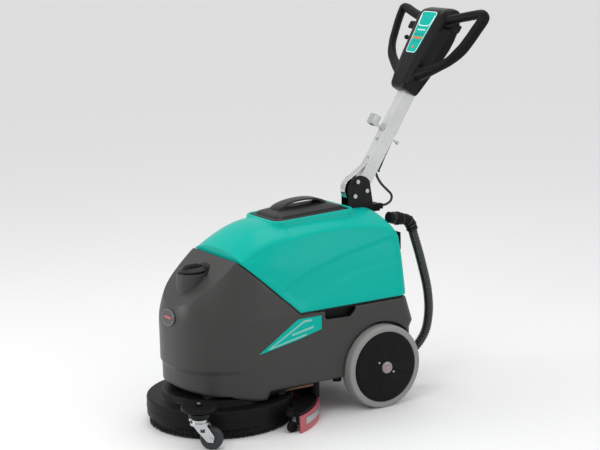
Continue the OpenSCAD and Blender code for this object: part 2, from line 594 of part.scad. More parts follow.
// Cleat in front of the column; plate and peg behind it
cleat_w = 214;
cleat_h = 36;
module cord_hooks() on_place_column() color(steel) {
    translate([face_u, -14, cleat_w]) cube([3, 28, 26]);
    translate([face_u, -14, cleat_w + 6]) cube([36, 28, 4]);
    difference() {
        translate([face_u + 33, -16, cleat_w]) cube([26, 32, cleat_h]);
        translate([face_u + 36, -13, cleat_w - 3]) cube([20, 26, cleat_h]);
    }
    translate([-face_u - 3, -14, 222]) cube([3, 28, 34]);
    translate([-face_u - 28, 0, 210]) rotate([0, 90, 0]) cylinder(h = 28, r = 3.5, $fn = 24);
    translate([-face_u - 34, 0, 210]) rotate([0, 90, 0]) cylinder(h = 6, r = 6.5, $fn = 32);
    for (w = [114, 184]) translate([face_u, 0, w]) rotate([0, 90, 0]) cylinder(h = 5, r = 6, $fn = 6);
}
lever_u = 22;
lever_w = 618;
module slab(u0, u1, hw, w0, w1) translate([u0, -hw, w0]) cube([u1 - u0, 2 * hw, w1 - w0]);
module column_socket() slab(-column_d / 2 - 0.01, column_d / 2 + 0.01, column_w / 2 + 0.01, 300, column_end);
module head_front() on_place_column() color(black) difference() {
    hull() {
        slab(-2, 46, 38, 371, 376);
        slab(-2, 56, 45, 374, 392);
        slab(-2, 62, 56, 480, 490);
        slab(-2, 62, 73, 620, 650);
        slab(-2, 54, 70, 650, 672);
        slab(-2, 20, 66, 680, 694);
    }
    hull() {
        slab(-3, 48, 34, 410, 420);
        slab(-3, 58, 51, 484, 490);
        slab(-3, 58, 68, 620, 650);
        slab(-3, 52, 66, 655, 666);
    }
    column_socket();
    mirrored() translate([lever_u, 50, lever_w]) rotate([-90, 0, 0]) cylinder(h = 40, r = 5 + fit, $fn = 32);
}
module head_rear() on_place_column() color(black) difference() {
    hull() {
        slab(-26, -2.2, 34, 374, 392);
        slab(-46, -2.2, 52, 540, 570);
        slab(-34, -2.2, 68, 640, 650);
        slab(-8, -2.2, 66, 680, 694);
    }
    hull() {
        slab(-25, -1, 30, 400, 410);
        slab(-41, -1, 47, 540, 566);
        slab(-30, -1, 62, 640, 648);
        slab(-5, -1, 61, 670, 688);
    }
    column_socket();
}
button_w = 518;
module display_panel() on_place_column() color(teal) translate([62.01, 0, 0]) rotate([90, 0, 90])
    linear_extrude(2.4) difference() {
        hull() {
            for (y = [-31, 31]) translate([y, 644]) circle(r = 12, $fn = 32);
            for (y = [-17, 17]) translate([y, 508]) circle(r = 12, $fn = 32);
        }
        translate([0, button_w]) circle(r = 5.4, $fn = 32);
    }
module power_button() on_place_column() color("#e06a30") translate([63.6, 0, button_w]) rotate([0, 90, 0])
    cylinder(h = 2.3, r = 5, $fn = 32);

// Loop handles: one closed bar on each side of the head
loop_points = [[33, 60, 641], [32, 100, 650], [28, 150, 664], [22, 205, 681], [20, 229, 683], [18, 234, 664],
               [18, 225, 625], [17, 214, 587], [17, 199, 547], [18, 168, 505], [20, 134, 479], [22, 94, 457],
               [24, 40, 434]];
module handle_loops() on_place_column() color(black) mirrored() difference() {
    sweep(spline(loop_points, 3), grip_r, 12, [1, 0, 0]);
    slab(-60, 120, 46, 370, 475);
    slab(-60, 120, 70, 600, 700);
}
// Control levers under the top bars of the loops
module lever() on_place_column() color(black) {
    translate([lever_u, 62, lever_w]) rotate([-90, 0, 0]) cylinder(h = 78, r = 5, $fn = 32);
    translate([lever_u - 4, 100, lever_w - 14]) cube([8, 44, 28]);
}
module trigger_left() lever();
module trigger_right() mirror([0, 1, 0]) lever();

// ---- Suction hose ----
hose_r = 16;
hose_y = 100;
hose_points = [[-208.4, 100, 555], [-216, 100, 530], [-226, 100, 500], [-237, 100, 465], [-248, 99, 428],
               [-259, 98, 390], [-269, 97, 350], [-276, 95, 310], [-280, 92, 270], [-279, 88, 230],
               [-272, 84, 192], [-255, 79, 158], [-228, 74, 130], [-195, 71, 115], [-165, 70, 112],
               [-140, 70, 112]];
module hose_fitting() place() color(black) {
    translate([-170, hose_y, 598]) rotate([0, 78, 0]) cylinder(h = 62, r = 19, $fn = 40);
    translate([-150, hose_y, 602]) rotate([0, 78, 0]) cylinder(h = 10, r = 23, $fn = 40);
    sweep(spline([[-168, 100, 598.5], [-184, 100, 594], [-197, 100, 583], [-204, 100, 569],
        [-208, 100, 556]], 2),
        19, 12, [0, 1, 0]);
}
module suction_hose() place() color(black) sweep(hose_points, hose_r, 12, [0, 1, 0]);
module suction_pipe() place() color(black) difference() {
    union() {
        translate([-140, port_y, 112]) rotate([0, 90, 0]) cylinder(h = 359, r = 16, $fn = 40);
        translate([219, port_y, 112]) sphere(r = 16, $fn = 40);
        translate([219, port_y, 60]) cylinder(h = 52, r = 16, $fn = 40);
    }
    translate([219, port_y, 50]) cylinder(h = 62, r = 13, $fn = 40);
    translate([-130, port_y, 112]) rotate([0, 90, 0]) cylinder(h = 349, r = 13, $fn = 40);
}

chassis_frame();
solution_tank();
recovery_tank();
tank_seal();
lid();
lid_gasket();
filler_cap();
filler_gasket();
vacuum_motor();
batteries();
float_valve();
side_decals();
front_badge();
drain_caps();
axle();
tyre_left();
hub_left();
hub_cap_left();
tyre_right();
hub_right();
hub_cap_right();
deck_shroud();
deck_bolts();
brush_motor();
motor_rotor();
drive_hub();
brush_plate();
bristles();
caster_bracket();
bumper_roller();
caster_fork();
caster_wheel();
caster_axle();
squeegee_frame();
blade_front();
blade_rear();
blade_clamp();
end_roller_left();
end_roller_right();
lift_links();
lift_brackets();
hinge_plates();
hinge_bolts();
fold_strap();
cable_box();
harness_loop();
column_tube();
column_cable();
cord_hooks();
head_front();
head_rear();
display_panel();
handle_loops();
trigger_left();
trigger_right();
power_button();
hose_fitting();
suction_hose();
suction_pipe();
rear_bumper();
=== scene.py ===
import json
import math

import bmesh
import bpy
import numpy as np
from mathutils import Matrix, Vector

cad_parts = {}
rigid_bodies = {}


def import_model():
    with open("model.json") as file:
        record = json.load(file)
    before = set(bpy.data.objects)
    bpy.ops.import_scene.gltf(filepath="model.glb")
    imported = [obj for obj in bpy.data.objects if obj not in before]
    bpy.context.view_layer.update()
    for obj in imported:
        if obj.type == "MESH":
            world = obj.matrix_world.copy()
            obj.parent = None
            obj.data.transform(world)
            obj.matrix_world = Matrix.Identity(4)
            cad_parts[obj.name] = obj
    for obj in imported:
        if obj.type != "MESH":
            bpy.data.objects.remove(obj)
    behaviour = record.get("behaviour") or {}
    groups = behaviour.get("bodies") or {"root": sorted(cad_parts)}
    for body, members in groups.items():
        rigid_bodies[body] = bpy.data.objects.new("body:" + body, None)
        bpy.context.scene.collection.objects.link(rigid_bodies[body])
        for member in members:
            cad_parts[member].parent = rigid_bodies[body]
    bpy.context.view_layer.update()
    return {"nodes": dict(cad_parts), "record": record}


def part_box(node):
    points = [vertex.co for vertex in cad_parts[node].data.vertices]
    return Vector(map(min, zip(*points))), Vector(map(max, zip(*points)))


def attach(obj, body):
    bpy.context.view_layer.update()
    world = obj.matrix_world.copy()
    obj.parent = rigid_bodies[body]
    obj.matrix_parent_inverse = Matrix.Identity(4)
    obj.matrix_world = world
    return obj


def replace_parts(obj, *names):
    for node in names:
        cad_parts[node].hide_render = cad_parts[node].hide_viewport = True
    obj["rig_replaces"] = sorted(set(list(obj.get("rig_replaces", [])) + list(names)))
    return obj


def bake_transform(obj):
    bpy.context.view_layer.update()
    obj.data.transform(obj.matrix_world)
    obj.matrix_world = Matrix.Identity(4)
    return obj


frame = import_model()
NODES = frame["nodes"]
pi = math.pi


def mid(node):
    lo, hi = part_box(node)
    return (lo + hi) / 2


# Shape numbers are in millimetres from the rear axle. P and C turn them into points of the shared
# frame in metres: P from x, y, z, and C from the leaning column's own u (front), y and w (along it).
AX = mid("axle").x
LEAN = math.radians(33.5)
COLUMN_X, COLUMN_Z = -56, 696
WHEEL_R, WHEEL_Y = 140, 233
BRUSH_X = 500
NECK_X, NECK_TOP = 588, 503


def P(x, y, z):
    return Vector((AX + x / 1000, y / 1000, z / 1000))


def C(u, y, w):
    c, s = math.cos(LEAN), math.sin(LEAN)
    return P(COLUMN_X + u * c - w * s, y, COLUMN_Z + u * s + w * c)


# ---- Camera ----
TARGET = P(177, 0, 604.5)
DISTANCE = 5.640


def make_camera():
    """Looks at TARGET from the front left, a little above and slightly rolled."""
    th, el, roll = math.radians(31.63), math.radians(11.59), math.radians(-1.29)
    back = Vector((math.sin(th) * math.cos(el), math.cos(th) * math.cos(el), math.sin(el)))
    right = (-back).cross(Vector((0, 0, 1))).normalized()
    up = right.cross(-back)
    r = right * math.cos(roll) + up * math.sin(roll)
    u = -right * math.sin(roll) + up * math.cos(roll)
    cam = bpy.data.cameras.new("camera")
    cam.lens, cam.sensor_width = 102, 36
    ob = bpy.data.objects.new("camera", cam)
    bpy.context.scene.collection.objects.link(ob)
    m = Matrix((r, u, back)).transposed().to_4x4()
    m.translation = TARGET + back * DISTANCE
    ob.matrix_world = m
    cam.clip_end = 60
    bpy.context.scene.camera = ob


make_camera()


# ---- Materials ----
def node(tree, kind, **inputs):
    """A shader node with inputs set by name; an underscore stands for a space."""
    n = tree.nodes.new("ShaderNode" + kind)
    for key, value in inputs.items():
        n.inputs[key.replace("_", " ")].default_value = value
    return n


def material(name, color, rough=0.5, metal=0.0, scale=300.0, bump=0.2, depth=0.0003, vary=0.08,
             spread=0.08, edge=0.0012, blotch=5.0, pattern="noise", sss=0.0, spec=0.5):
    """Two close shades in soft blotches, a fine bump (noise, wave or cells) and edges rounded by edge."""
    m = bpy.data.materials.new(name)
    m.use_nodes = True
    tree, link = m.node_tree, m.node_tree.links.new
    tree.nodes.clear()
    out = node(tree, "OutputMaterial")
    shader = node(tree, "BsdfPrincipled", Metallic=metal, Specular_IOR_Level=spec, Subsurface_Weight=sss,
                  Subsurface_Radius=(0.01, 0.004, 0.004))
    place = node(tree, "TexCoord")
    blotches = node(tree, "TexNoise", Scale=blotch, Detail=8, Roughness=0.6)
    shades = node(tree, "Mix")
    shades.data_type = "RGBA"
    shades.inputs["A"].default_value = (*[c * (1 - vary) for c in color], 1)
    shades.inputs["B"].default_value = (*[min(1, c * (1 + vary)) for c in color], 1)
    gloss = node(tree, "MapRange", From_Min=0.3, From_Max=0.7, To_Min=max(0.02, rough - spread),
                 To_Max=min(1, rough + spread))
    if pattern == "noise":
        fine = node(tree, "TexNoise", Scale=scale, Detail=3)
    elif pattern == "wave":
        fine = node(tree, "TexWave", Scale=scale, Distortion=1.5, Detail=2)
    else:
        fine = node(tree, "TexVoronoi", Scale=scale)
    height = fine.outputs["Distance" if pattern == "voronoi" else "Fac"]
    relief = node(tree, "Bump", Strength=bump, Distance=depth)
    link(place.outputs["Object"], blotches.inputs["Vector"])
    link(place.outputs["Object"], fine.inputs["Vector"])
    link(blotches.outputs["Fac"], shades.inputs["Factor"])
    link(blotches.outputs["Fac"], gloss.inputs["Value"])
    link(shades.outputs["Result"], shader.inputs["Base Color"])
    link(gloss.outputs["Result"], shader.inputs["Roughness"])
    link(height, relief.inputs["Height"])
    if edge:
        rounding = node(tree, "Bevel", Radius=edge)
        rounding.samples = 4
        link(rounding.outputs["Normal"], relief.inputs["Normal"])
    link(relief.outputs["Normal"], shader.inputs["Normal"])
    link(shader.outputs["BSDF"], out.inputs["Surface"])
    return m


M = {
    "body_plastic": material("body_plastic", (0.042, 0.0415, 0.0403), 0.40, scale=420, bump=0.3,
                             edge=0.0025, spec=0.22),
    "teal_plastic": material("teal_plastic", (0.0, 0.385, 0.316), 0.30, scale=320, bump=0.12, edge=0.0025,
                             vary=0.04, spec=0.1),
    "black_plastic": material("black_plastic", (0.006, 0.0055, 0.0062), 0.42, scale=700, bump=0.3, spec=0.1),
    "lid_plastic": material("lid_plastic", (0.010, 0.010, 0.011), 0.33, scale=600, bump=0.25, edge=0.0015,
                            spec=0.22),
    "soft_grip": material("soft_grip", (0.007, 0.0065, 0.008), 0.48, scale=900, bump=0.4, spec=0.1),
    "black_rubber": material("black_rubber", (0.005, 0.005, 0.0055), 0.45, scale=500, bump=0.3, spec=0.15),
    "head_plastic": material("head_plastic", (0.0058, 0.0054, 0.0068), 0.34, scale=700, bump=0.2,
                             edge=0.001, spec=0.16),
    "hose_ribs": material("hose_ribs", (0.006, 0.006, 0.0065), 0.28, scale=500, bump=0.1, spec=0.7),
    "black_steel": material("black_steel", (0.005, 0.005, 0.0055), 0.35, scale=500, bump=0.2, spec=0.2),
    "column_paint": material("column_paint", (0.60, 0.61, 0.615), 0.24, metal=0.6, scale=900, bump=0.15,
                             vary=0.03),
    "zinc": material("zinc", (0.50, 0.52, 0.53), 0.28, metal=0.95, scale=240, bump=0.15, vary=0.14,
                     blotch=40),
    "cap_metal": material("cap_metal", (0.30, 0.27, 0.27), 0.35, metal=0.7, scale=300, bump=0.1, vary=0.1),
    "chrome": material("chrome", (0.62, 0.62, 0.63), 0.12, metal=1.0, scale=200, bump=0.05, spread=0.05),
    "grey_tyre": material("grey_tyre", (0.25, 0.245, 0.24), 0.55, scale=260, bump=0.25, vary=0.06, spec=0.2),
    "dark_tyre": material("dark_tyre", (0.035, 0.038, 0.040), 0.5, scale=260, bump=0.25, vary=0.1, spec=0.2),
    "red_blade": material("red_blade", (0.42, 0.085, 0.11), 0.4, scale=200, bump=0.15, sss=0.25),
    "copper_paint": material("copper_paint", (0.16, 0.075, 0.05), 0.35, metal=0.3, scale=300, bump=0.2),
    "copper_winding": material("copper_winding", (0.5, 0.24, 0.1), 0.3, metal=1.0, scale=900, pattern="wave"),
    "bristle_nylon": material("bristle_nylon", (0.008, 0.008, 0.0085), 0.42, scale=400, bump=0.2, edge=0.0,
                              spec=0.4),
    "battery_case": material("battery_case", (0.03, 0.033, 0.04), 0.5, scale=300, bump=0.3),
    "float_plastic": material("float_plastic", (0.7, 0.7, 0.66), 0.3, scale=200, bump=0.1),
    "orange_key": material("orange_key", (0.70, 0.16, 0.03), 0.35, scale=500, bump=0.1, edge=0.0),
    "white_print": material("white_print", (0.72, 0.80, 0.80), 0.45, scale=900, bump=0.05, edge=0.0),
    "pale_stripe": material("pale_stripe", (0.20, 0.46, 0.43), 0.4, scale=900, bump=0.05, edge=0.0),
    "dark_print": material("dark_print", (0.003, 0.08, 0.07), 0.45, scale=900, bump=0.05, edge=0.0),
    "pale_metal_print": material("pale_metal_print", (0.20, 0.21, 0.21), 0.3, metal=0.6, scale=500, bump=0.1),
    "badge_face": material("badge_face", (0.045, 0.040, 0.038), 0.3, scale=400, bump=0.1, edge=0.0),
    "braid": material("braid", (0.012, 0.012, 0.013), 0.5, scale=260, bump=0.9, depth=0.001,
                      pattern="voronoi"),
}
SLOTS = {s["node"]: s["material_slot"] for s in frame["record"]["subparts"]}


# ---- Mesh helpers ----
def add(name, verts, faces, body, mat, stands_for=(), slot=None, angle=35, bevel=0.0):
    """A mesh piece: normals made consistent, smooth by angle, with an optional bevel."""
    me = bpy.data.meshes.new(name)
    me.from_pydata([tuple(v) for v in verts], [], [tuple(f) for f in faces])
    bm = bmesh.new()
    bm.from_mesh(me)
    bmesh.ops.remove_doubles(bm, verts=bm.verts, dist=1e-6)
    bmesh.ops.recalc_face_normals(bm, faces=bm.faces)
    bm.to_mesh(me)
    bm.free()
    ob = bpy.data.objects.new(name, me)
    bpy.context.scene.collection.objects.link(ob)
    me.materials.append(M[mat])
    me.shade_smooth()
    me.set_sharp_from_angle(angle=math.radians(angle))
    if bevel:
        bv = ob.modifiers.new("bevel", "BEVEL")
        bv.width, bv.segments = bevel / 1000, 2
        bv.limit_method, bv.angle_limit = "ANGLE", math.radians(38)
        bv.harden_normals = True
    if body:
        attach(ob, body)
        if stands_for:
            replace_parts(ob, *stands_for)
    return ob


def quads(rows, cols, closed=False, offset=0):
    """Faces of a grid of rows x cols points, each row closed on itself if closed."""
    f = []
    for j in range(rows - 1):
        for i in range(cols if closed else cols - 1):
            a, b = offset + j * cols + i, offset + j * cols + (i + 1) % cols
            f.append((a, b, b + cols, a + cols))
    return f


def frame_of(axis):
    """Two directions square to axis, and axis itself, all of length one."""
    a = Vector(axis).normalized()
    s = Vector((0, 0, 1)) if abs(a.z) < 0.9 else Vector((1, 0, 0))
    u = a.cross(s).normalized()
    return u, a.cross(u), a


def lathe(name, profile, centre, axis, body, mat, segs=96, **kw):
    """Profile points (radius, distance along the axis) in mm, turned about an axis through centre."""
    u, v, a = frame_of(axis)
    verts, n = [], len(profile)
    for r, h in profile:
        for k in range(segs):
            q = 2 * pi * k / segs
            verts.append(centre + (u * math.cos(q) + v * math.sin(q)) * (r / 1000) + a * (h / 1000))
    faces = quads(n, segs, True)
    loop = kw.pop("loop", False)
    if loop:
        for k in range(segs):
            a0, b0 = (n - 1) * segs + k, (n - 1) * segs + (k + 1) % segs
            faces.append((a0, b0, (k + 1) % segs, k))
    else:
        faces += [tuple(range(segs)), tuple(range((n - 1) * segs, n * segs))]
    return add(name, verts, faces, body, mat, **kw)


def smooth_line(pts, step):
    """Catmull-Rom line through pts, resampled at even steps in metres."""
    p = [np.array(q, float) for q in pts]
    out = []
    for i in range(len(p) - 1):
        a, b, c, d = p[max(i - 1, 0)], p[i], p[i + 1], p[min(i + 2, len(p) - 1)]
        for t in np.linspace(0, 1, 24, endpoint=False):
            out.append(0.5 * (2 * b + (c - a) * t + (2 * a - 5 * b + 4 * c - d) * t * t
                              + (3 * b - a - 3 * c + d) * t ** 3))
    out.append(p[-1])
    out = np.array(out)
    s = np.r_[0, np.cumsum(np.linalg.norm(np.diff(out, axis=0), axis=1))]
    n = max(2, int(round(s[-1] / step)) + 1)
    t = np.linspace(0, s[-1], n)
    return np.stack([np.interp(t, s, out[:, k]) for k in range(3)], 1), s[-1]


def tube(name, line, radius, sides, body, mat, **kw):
    """Tube along line with radius(distance) in metres."""
    side = Vector((0, 1, 0))
    d = np.r_[0, np.cumsum(np.linalg.norm(np.diff(line, axis=0), axis=1))]
    verts, n = [], len(line)
    for i, p in enumerate(line):
        t = Vector(line[min(i + 1, n - 1)] - line[max(i - 1, 0)]).normalized()
        u = t.cross(side).normalized()
        v = t.cross(u)
        r = radius(d[i])
        for k in range(sides):
            q = 2 * pi * k / sides
            verts.append(Vector(p) + u * (r * math.cos(q)) + v * (r * math.sin(q)))
    faces = quads(n, sides, True) + [tuple(range(sides)), tuple(range((n - 1) * sides, n * sides))]
    return add(name, verts, faces, body, mat, **kw)


def prism(name, outline, origin, e1, e2, thick, body, mat, **kw):
    """A flat outline (mm) in the plane e1, e2, extruded by thick mm along their cross product."""
    e1, e2 = Vector(e1), Vector(e2)
    e3 = e1.cross(e2)
    n = len(outline)
    bot = [origin + e1 * (a / 1000) + e2 * (b / 1000) for a, b in outline]
    top = [p + e3 * (thick / 1000) for p in bot]
    faces = [tuple(range(n)), tuple(range(n, 2 * n))]
    faces += [(i, (i + 1) % n, n + (i + 1) % n, n + i) for i in range(n)]
    return add(name, bot + top, faces, body, mat, **kw)


def block(name, lo, hi, body, mat, at=P, **kw):
    """A box from corner lo to corner hi, in the axes of at."""
    v = [at(x, y, z) for x in (lo[0], hi[0]) for y in (lo[1], hi[1]) for z in (lo[2], hi[2])]
    f = [(0, 1, 3, 2), (4, 6, 7, 5), (0, 4, 5, 1), (2, 3, 7, 6), (0, 2, 6, 4), (1, 5, 7, 3)]
    return add(name, v, f, body, mat, **kw)


def rounded(x0, x1, hw, r, n=10):
    """Rounded rectangle from x0 to x1 and -hw to hw."""
    pts = []
    corners = ((x1 - r, hw - r, 0), (x0 + r, hw - r, 90), (x0 + r, -hw + r, 180), (x1 - r, -hw + r, 270))
    for cx, cy, q0 in corners:
        for k in range(n):
            q = math.radians(q0 + 90 * k / (n - 1))
            pts.append((cx + r * math.cos(q), cy + r * math.sin(q)))
    return pts


def loft(name, rings, body, mat, **kw):
    """Closed rings of equal length, capped at both ends."""
    n, m = len(rings), len(rings[0])
    verts = [p for r in rings for p in r]
    faces = quads(n, m, True) + [tuple(range(m)), tuple(range((n - 1) * m, n * m))]
    return add(name, verts, faces, body, mat, **kw)


def boolean(ob, cutters, op="DIFFERENCE"):
    """Cuts or joins ob with throwaway pieces and removes them."""
    for c in cutters:
        md = ob.modifiers.new("cut", "BOOLEAN")
        md.operation, md.object, md.solver = op, c, "EXACT"
    bpy.context.view_layer.update()
    dg = bpy.context.evaluated_depsgraph_get()
    me = bpy.data.meshes.new_from_object(ob.evaluated_get(dg))
    ob.modifiers.clear()
    ob.data = me
    for c in cutters:
        bpy.data.objects.remove(c)


def sharpen(ob, angle):
    ob.data.shade_smooth()
    ob.data.set_sharp_from_angle(angle=math.radians(angle))


def ellipse(a, b, n):
    return [(a * math.cos(q), b * math.sin(q)) for q in np.linspace(0, 2 * pi, n, endpoint=False)]


def both(f):
    """Runs f for the left side and its mirror image: f(+1, "left") and f(-1, "right")."""
    return [f(1, "left"), f(-1, "right")]


# ---- Suction hose: a line with ribs ----
HOSE = [(-208.4, 100, 555), (-216, 100, 530), (-226, 100, 500), (-237, 100, 465), (-248, 99, 428),
        (-259, 98, 390), (-269, 97, 350), (-276, 95, 310), (-280, 92, 270), (-279, 88, 230),
        (-272, 84, 192), (-255, 79, 158), (-228, 74, 130), (-195, 71, 115), (-165, 70, 112), (-140, 70, 112)]
HOSE_Y, HOSE_D, HOSE_PITCH, RIB_DEPTH = 100, 0.032, 0.009, 0.0038
hose_line, hose_len = smooth_line([P(*p) for p in HOSE], 0.0006)


def hose_radius(d):
    return HOSE_D / 2 - RIB_DEPTH + RIB_DEPTH * abs(math.cos(pi * d / HOSE_PITCH)) ** 0.6


hose = tube("suction_hose", hose_line, hose_radius, 24, "chassis", "hose_ribs", slot="black_rubber",
            stands_for=["suction_hose"], angle=60)

# Ribs on the fitting ahead of the hose: x, z and the turn of each from upright
SLEEVE = [(-126.0, 607.4, 78), (-132.8, 605.9, 78), (-139.7, 604.5, 78), (-162, 599.8, 78), (-191, 589, 48),
          (-201.5, 575, 24), (-206.5, 561, 15)]
for k, (x, z, turn) in enumerate(SLEEVE):
    axis = (math.sin(math.radians(turn)), 0, math.cos(math.radians(turn)))
    prof = [(18.4, -2), (20.6, -1.2), (20.6, 1.2), (18.4, 2)]
    lathe(f"fitting_rib_{k}", prof, P(x, HOSE_Y, z), axis, "chassis", "hose_ribs", slot="black_plastic",
          segs=48, loop=True)


# ---- Outer form of the two tanks (mm) ----
NOSE_X, NOSE_LEN, NOSE_Z, NOSE_CURVE = 681, 270.0, 330, 0.00185
REAR, CORNER_R = -120.0, 40.0
SPLIT_X, SPLIT_Z, SPLIT_SLOPE = 307, 357, 0.95


def step(z):
    """How far the lower band of the nose is drawn in."""
    t = np.clip((212 - z) / 16, 0, 1)
    return t * t * (3 - 2 * t)


def nose_at(z):
    """Front end of the body at height z."""
    return NOSE_X - NOSE_CURVE * np.maximum(z - NOSE_Z, 0) ** 2


def half_w(z):
    """Half width of the body's straight sides at height z."""
    return 207 - 0.2 * np.maximum(z - 360, 0)


def split_at(x):
    """Height of the line between the grey body and the tank above it."""
    return SPLIT_Z + SPLIT_SLOPE * np.maximum(x - SPLIT_X, 0)


def rear_at(z):
    """Rear face at height z, with the flare over the wheels."""
    return REAR - 26 * np.clip((SPLIT_Z - z) / 85, 0, 1) + 12 * np.clip((272 - z) / 22, 0, 1)


# Points along half an outline: nose, front side, rear side, rear corner
NQ, NS, NR, NC = 60, 40, 26, 10
NCOL = NQ + NS + NR + NC + 1


def outline(z):
    """Half outline, nose first, for an array z of NCOL heights."""
    b, c, rx, r = half_w(z), nose_at(z) - NOSE_LEN, rear_at(z), CORNER_R
    x, y = np.zeros_like(b), np.zeros_like(b)
    q = np.radians(90 * (np.arange(NQ) / NQ) ** 1.35)
    s = slice(0, NQ)
    x[s] = c[s] + NOSE_LEN * np.cos(q) ** 0.8
    y[s] = b[s] * np.sin(q) ** 0.8
    f = np.arange(NS) / NS
    s = slice(NQ, NQ + NS)
    x[s] = c[s] + (SPLIT_X - c[s]) * f
    y[s] = b[s]
    f = np.arange(NR) / NR
    s = slice(NQ + NS, NQ + NS + NR)
    x[s] = SPLIT_X + (rx[s] + r - SPLIT_X) * f
    y[s] = b[s]
    q = np.radians(90 * np.arange(NC) / (NC - 1))
    s = slice(NQ + NS + NR, NQ + NS + NR + NC)
    x[s] = rx[s] + r - r * np.sin(q)
    y[s] = b[s] - r + r * np.cos(q)
    x[-1], y[-1] = rx[-1], 0
    k = step(z) * np.clip((x - 470) / 90, 0, 1)
    return x - 6 * k, y * (1 - 0.02 * k)


def body_rows():
    """Rings from the bottom edge up to the split line, found by halving for each column."""
    lo, hi = np.full(NCOL, 300.0), np.full(NCOL, 620.0)
    for _ in range(30):
        m = (lo + hi) / 2
        up = m < split_at(outline(m)[0])
        lo, hi = np.where(up, m, lo), np.where(up, hi, m)
    top = (lo + hi) / 2
    xb = outline(np.full(NCOL, 150.0))[0]
    bottom = np.where(xb > 438, 100 + 0.19 * np.maximum(xb - 470, 0), 125)
    rows = []
    for k in np.linspace(0, 1, 96):
        z = bottom + (top - bottom) * k
        x, y = outline(z)
        inset = 5 * (1 - np.clip((z - bottom) / 9, 0, 1)) ** 2 + 2.5 * (1 - np.clip((top - z) / 5, 0, 1)) ** 2
        s = 1 - inset / 300
        half = list(zip((x - 200) * s + 200, y * s, z))
        rows.append([P(a, b, c) for a, b, c in half] + [P(a, -b, c) for a, b, c in half[-2:0:-1]])
    return rows


def cyl(centre, axis, r, h0, h1, segs=96):
    """A cylinder to cut with."""
    return lathe("cutter", [(r, h0), (r, h1)], centre, axis, None, "black_plastic", segs=segs)


def box_cut(lo, hi):
    """A box to cut with."""
    return block("cutter", lo, hi, None, "body_plastic")


def bar_cut(x0, x1, hw, r, z0, z1):
    """A rounded bar on the lid's seat to cut with."""
    rings = [[S(a, b, z) for a, b in rounded(x0, x1, hw, r)] for z in (z0, z1)]
    return loft("cutter", rings, None, "body_plastic")


FACET_TILT, FACET_Z = math.radians(40), 551
FILLER_R, POCKET_R = 42, 58
WELL_Y, ARCH_R = 170, 150
GRIP_Y = 186


def on_facet(x, y, z):
    """A point of the flat that slopes down to the front behind the filler neck."""
    return P(BRUSH_X + x * math.cos(FACET_TILT) + z * math.sin(FACET_TILT), y,
             FACET_Z - x * math.sin(FACET_TILT) + z * math.cos(FACET_TILT))


def make_body():
    ob = loft("solution_tank_body", body_rows(), None, "body_plastic", angle=40)
    up, left, right = (0, 0, 1), (0, 1, 0), (0, -1, 0)
    facet = block("cutter", (-30, -200, 0), (300, 200, 120), None, "body_plastic", at=on_facet)
    boolean(ob, [facet, cyl(P(NECK_X, 0, 494), up, POCKET_R, 0, 120)])
    prof = [(51, -110), (50, -8), (49, -2), (47, 0), (FILLER_R, 0), (FILLER_R, -60), (0.01, -60),
            (0.01, -110)]
    neck = lathe("cutter", prof, P(NECK_X, 0, NECK_TOP), up, None, "body_plastic")
    boolean(ob, [neck], "UNION")
    # Filler, brush motor and deck, squeegee with its links, rear bay, wheels, axle, suction pipe
    cuts = [cyl(P(NECK_X, 0, 440), up, FILLER_R, 0, 100),
            cyl(P(BRUSH_X, 0, 60), up, 96, 0, 260),
            cyl(P(BRUSH_X, 0, 60), up, 190, 0, 66),
            box_cut((185, -186, 80), (435, 186, 146)),
            box_cut((150, 98, 80), (630, 142, 134)),
            box_cut((150, -142, 80), (630, -98, 134)),
            box_cut((-108, -160, 80), (196, 160, 500)),
            cyl(P(0, WELL_Y, WHEEL_R), left, ARCH_R, 0, 90, 128),
            cyl(P(0, -WELL_Y, WHEEL_R), right, ARCH_R, 0, 90, 128),
            cyl(P(0, 0, WHEEL_R), left, 13, -200, 200, 40),
            box_cut((-170, 50, 80), (-90, 90, 132))]
    grip = [(98, 372), (98, 352), (104, 340), (122, 327), (210, 330), (217, 338), (217, 372)]
    for s in (1, -1):
        cuts.append(prism("cutter", grip, P(0, GRIP_Y * s, 0), (1, 0, 0), up, -60 * s, None, "body_plastic"))
    boolean(ob, cuts)
    # The grip recesses are lined in black
    ob.data.materials.append(M["black_plastic"])
    for f in ob.data.polygons:
        x, y, z = (f.center.x - AX) * 1000, abs(f.center.y) * 1000, f.center.z * 1000
        if 97 < x < 218 and 326 < z < 372 and GRIP_Y - 0.5 < y < half_w(np.array(z)) - 0.7:
            f.material_index = 1
    sharpen(ob, 32)
    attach(ob, "chassis")
    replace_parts(ob, "solution_tank")


make_body()


# ---- Recovery tank ----
def chaikin(p, n):
    """Rounds the corners of an open line n times."""
    for _ in range(n):
        q = [p[0]]
        for a, b in zip(p[:-1], p[1:]):
            q += [a * 0.75 + b * 0.25, a * 0.25 + b * 0.75]
        p = q + [p[-1]]
    return p


def body_side(x, z):
    """Half width of the body at x and z."""
    c = float(nose_at(z)) - NOSE_LEN
    y = float(half_w(z))
    return y * max(1 - ((x - c) / NOSE_LEN) ** 2.5, 0) ** 0.4 if x > c else y


def side_y(x, z):
    """Half width of the tank, drawn in at its rear corners."""
    y = body_side(x, z)
    if x < -80:
        y -= 36 - math.sqrt(max(36 * 36 - (-80 - x) ** 2 * 0.81, 0))
    return y


def crown_z(x):
    """Top of the tank along its middle."""
    if x > 330:
        return 645 - 0.0029 * (x - 330) ** 2
    if x > -60:
        return 649 - 0.00014 * (x - 160) ** 2
    return 642 - 0.0135 * (x + 60) ** 2 - (-60 - x) * 0.2


def shoulder_z(x):
    """Edge between the tank's side and its top."""
    if x > 300:
        return 604 - 0.00155 * (x - 300) ** 2
    if x > -60:
        return 613 - 0.00048 * (x - 140) ** 2
    return 592 - 0.012 * (x + 60) ** 2


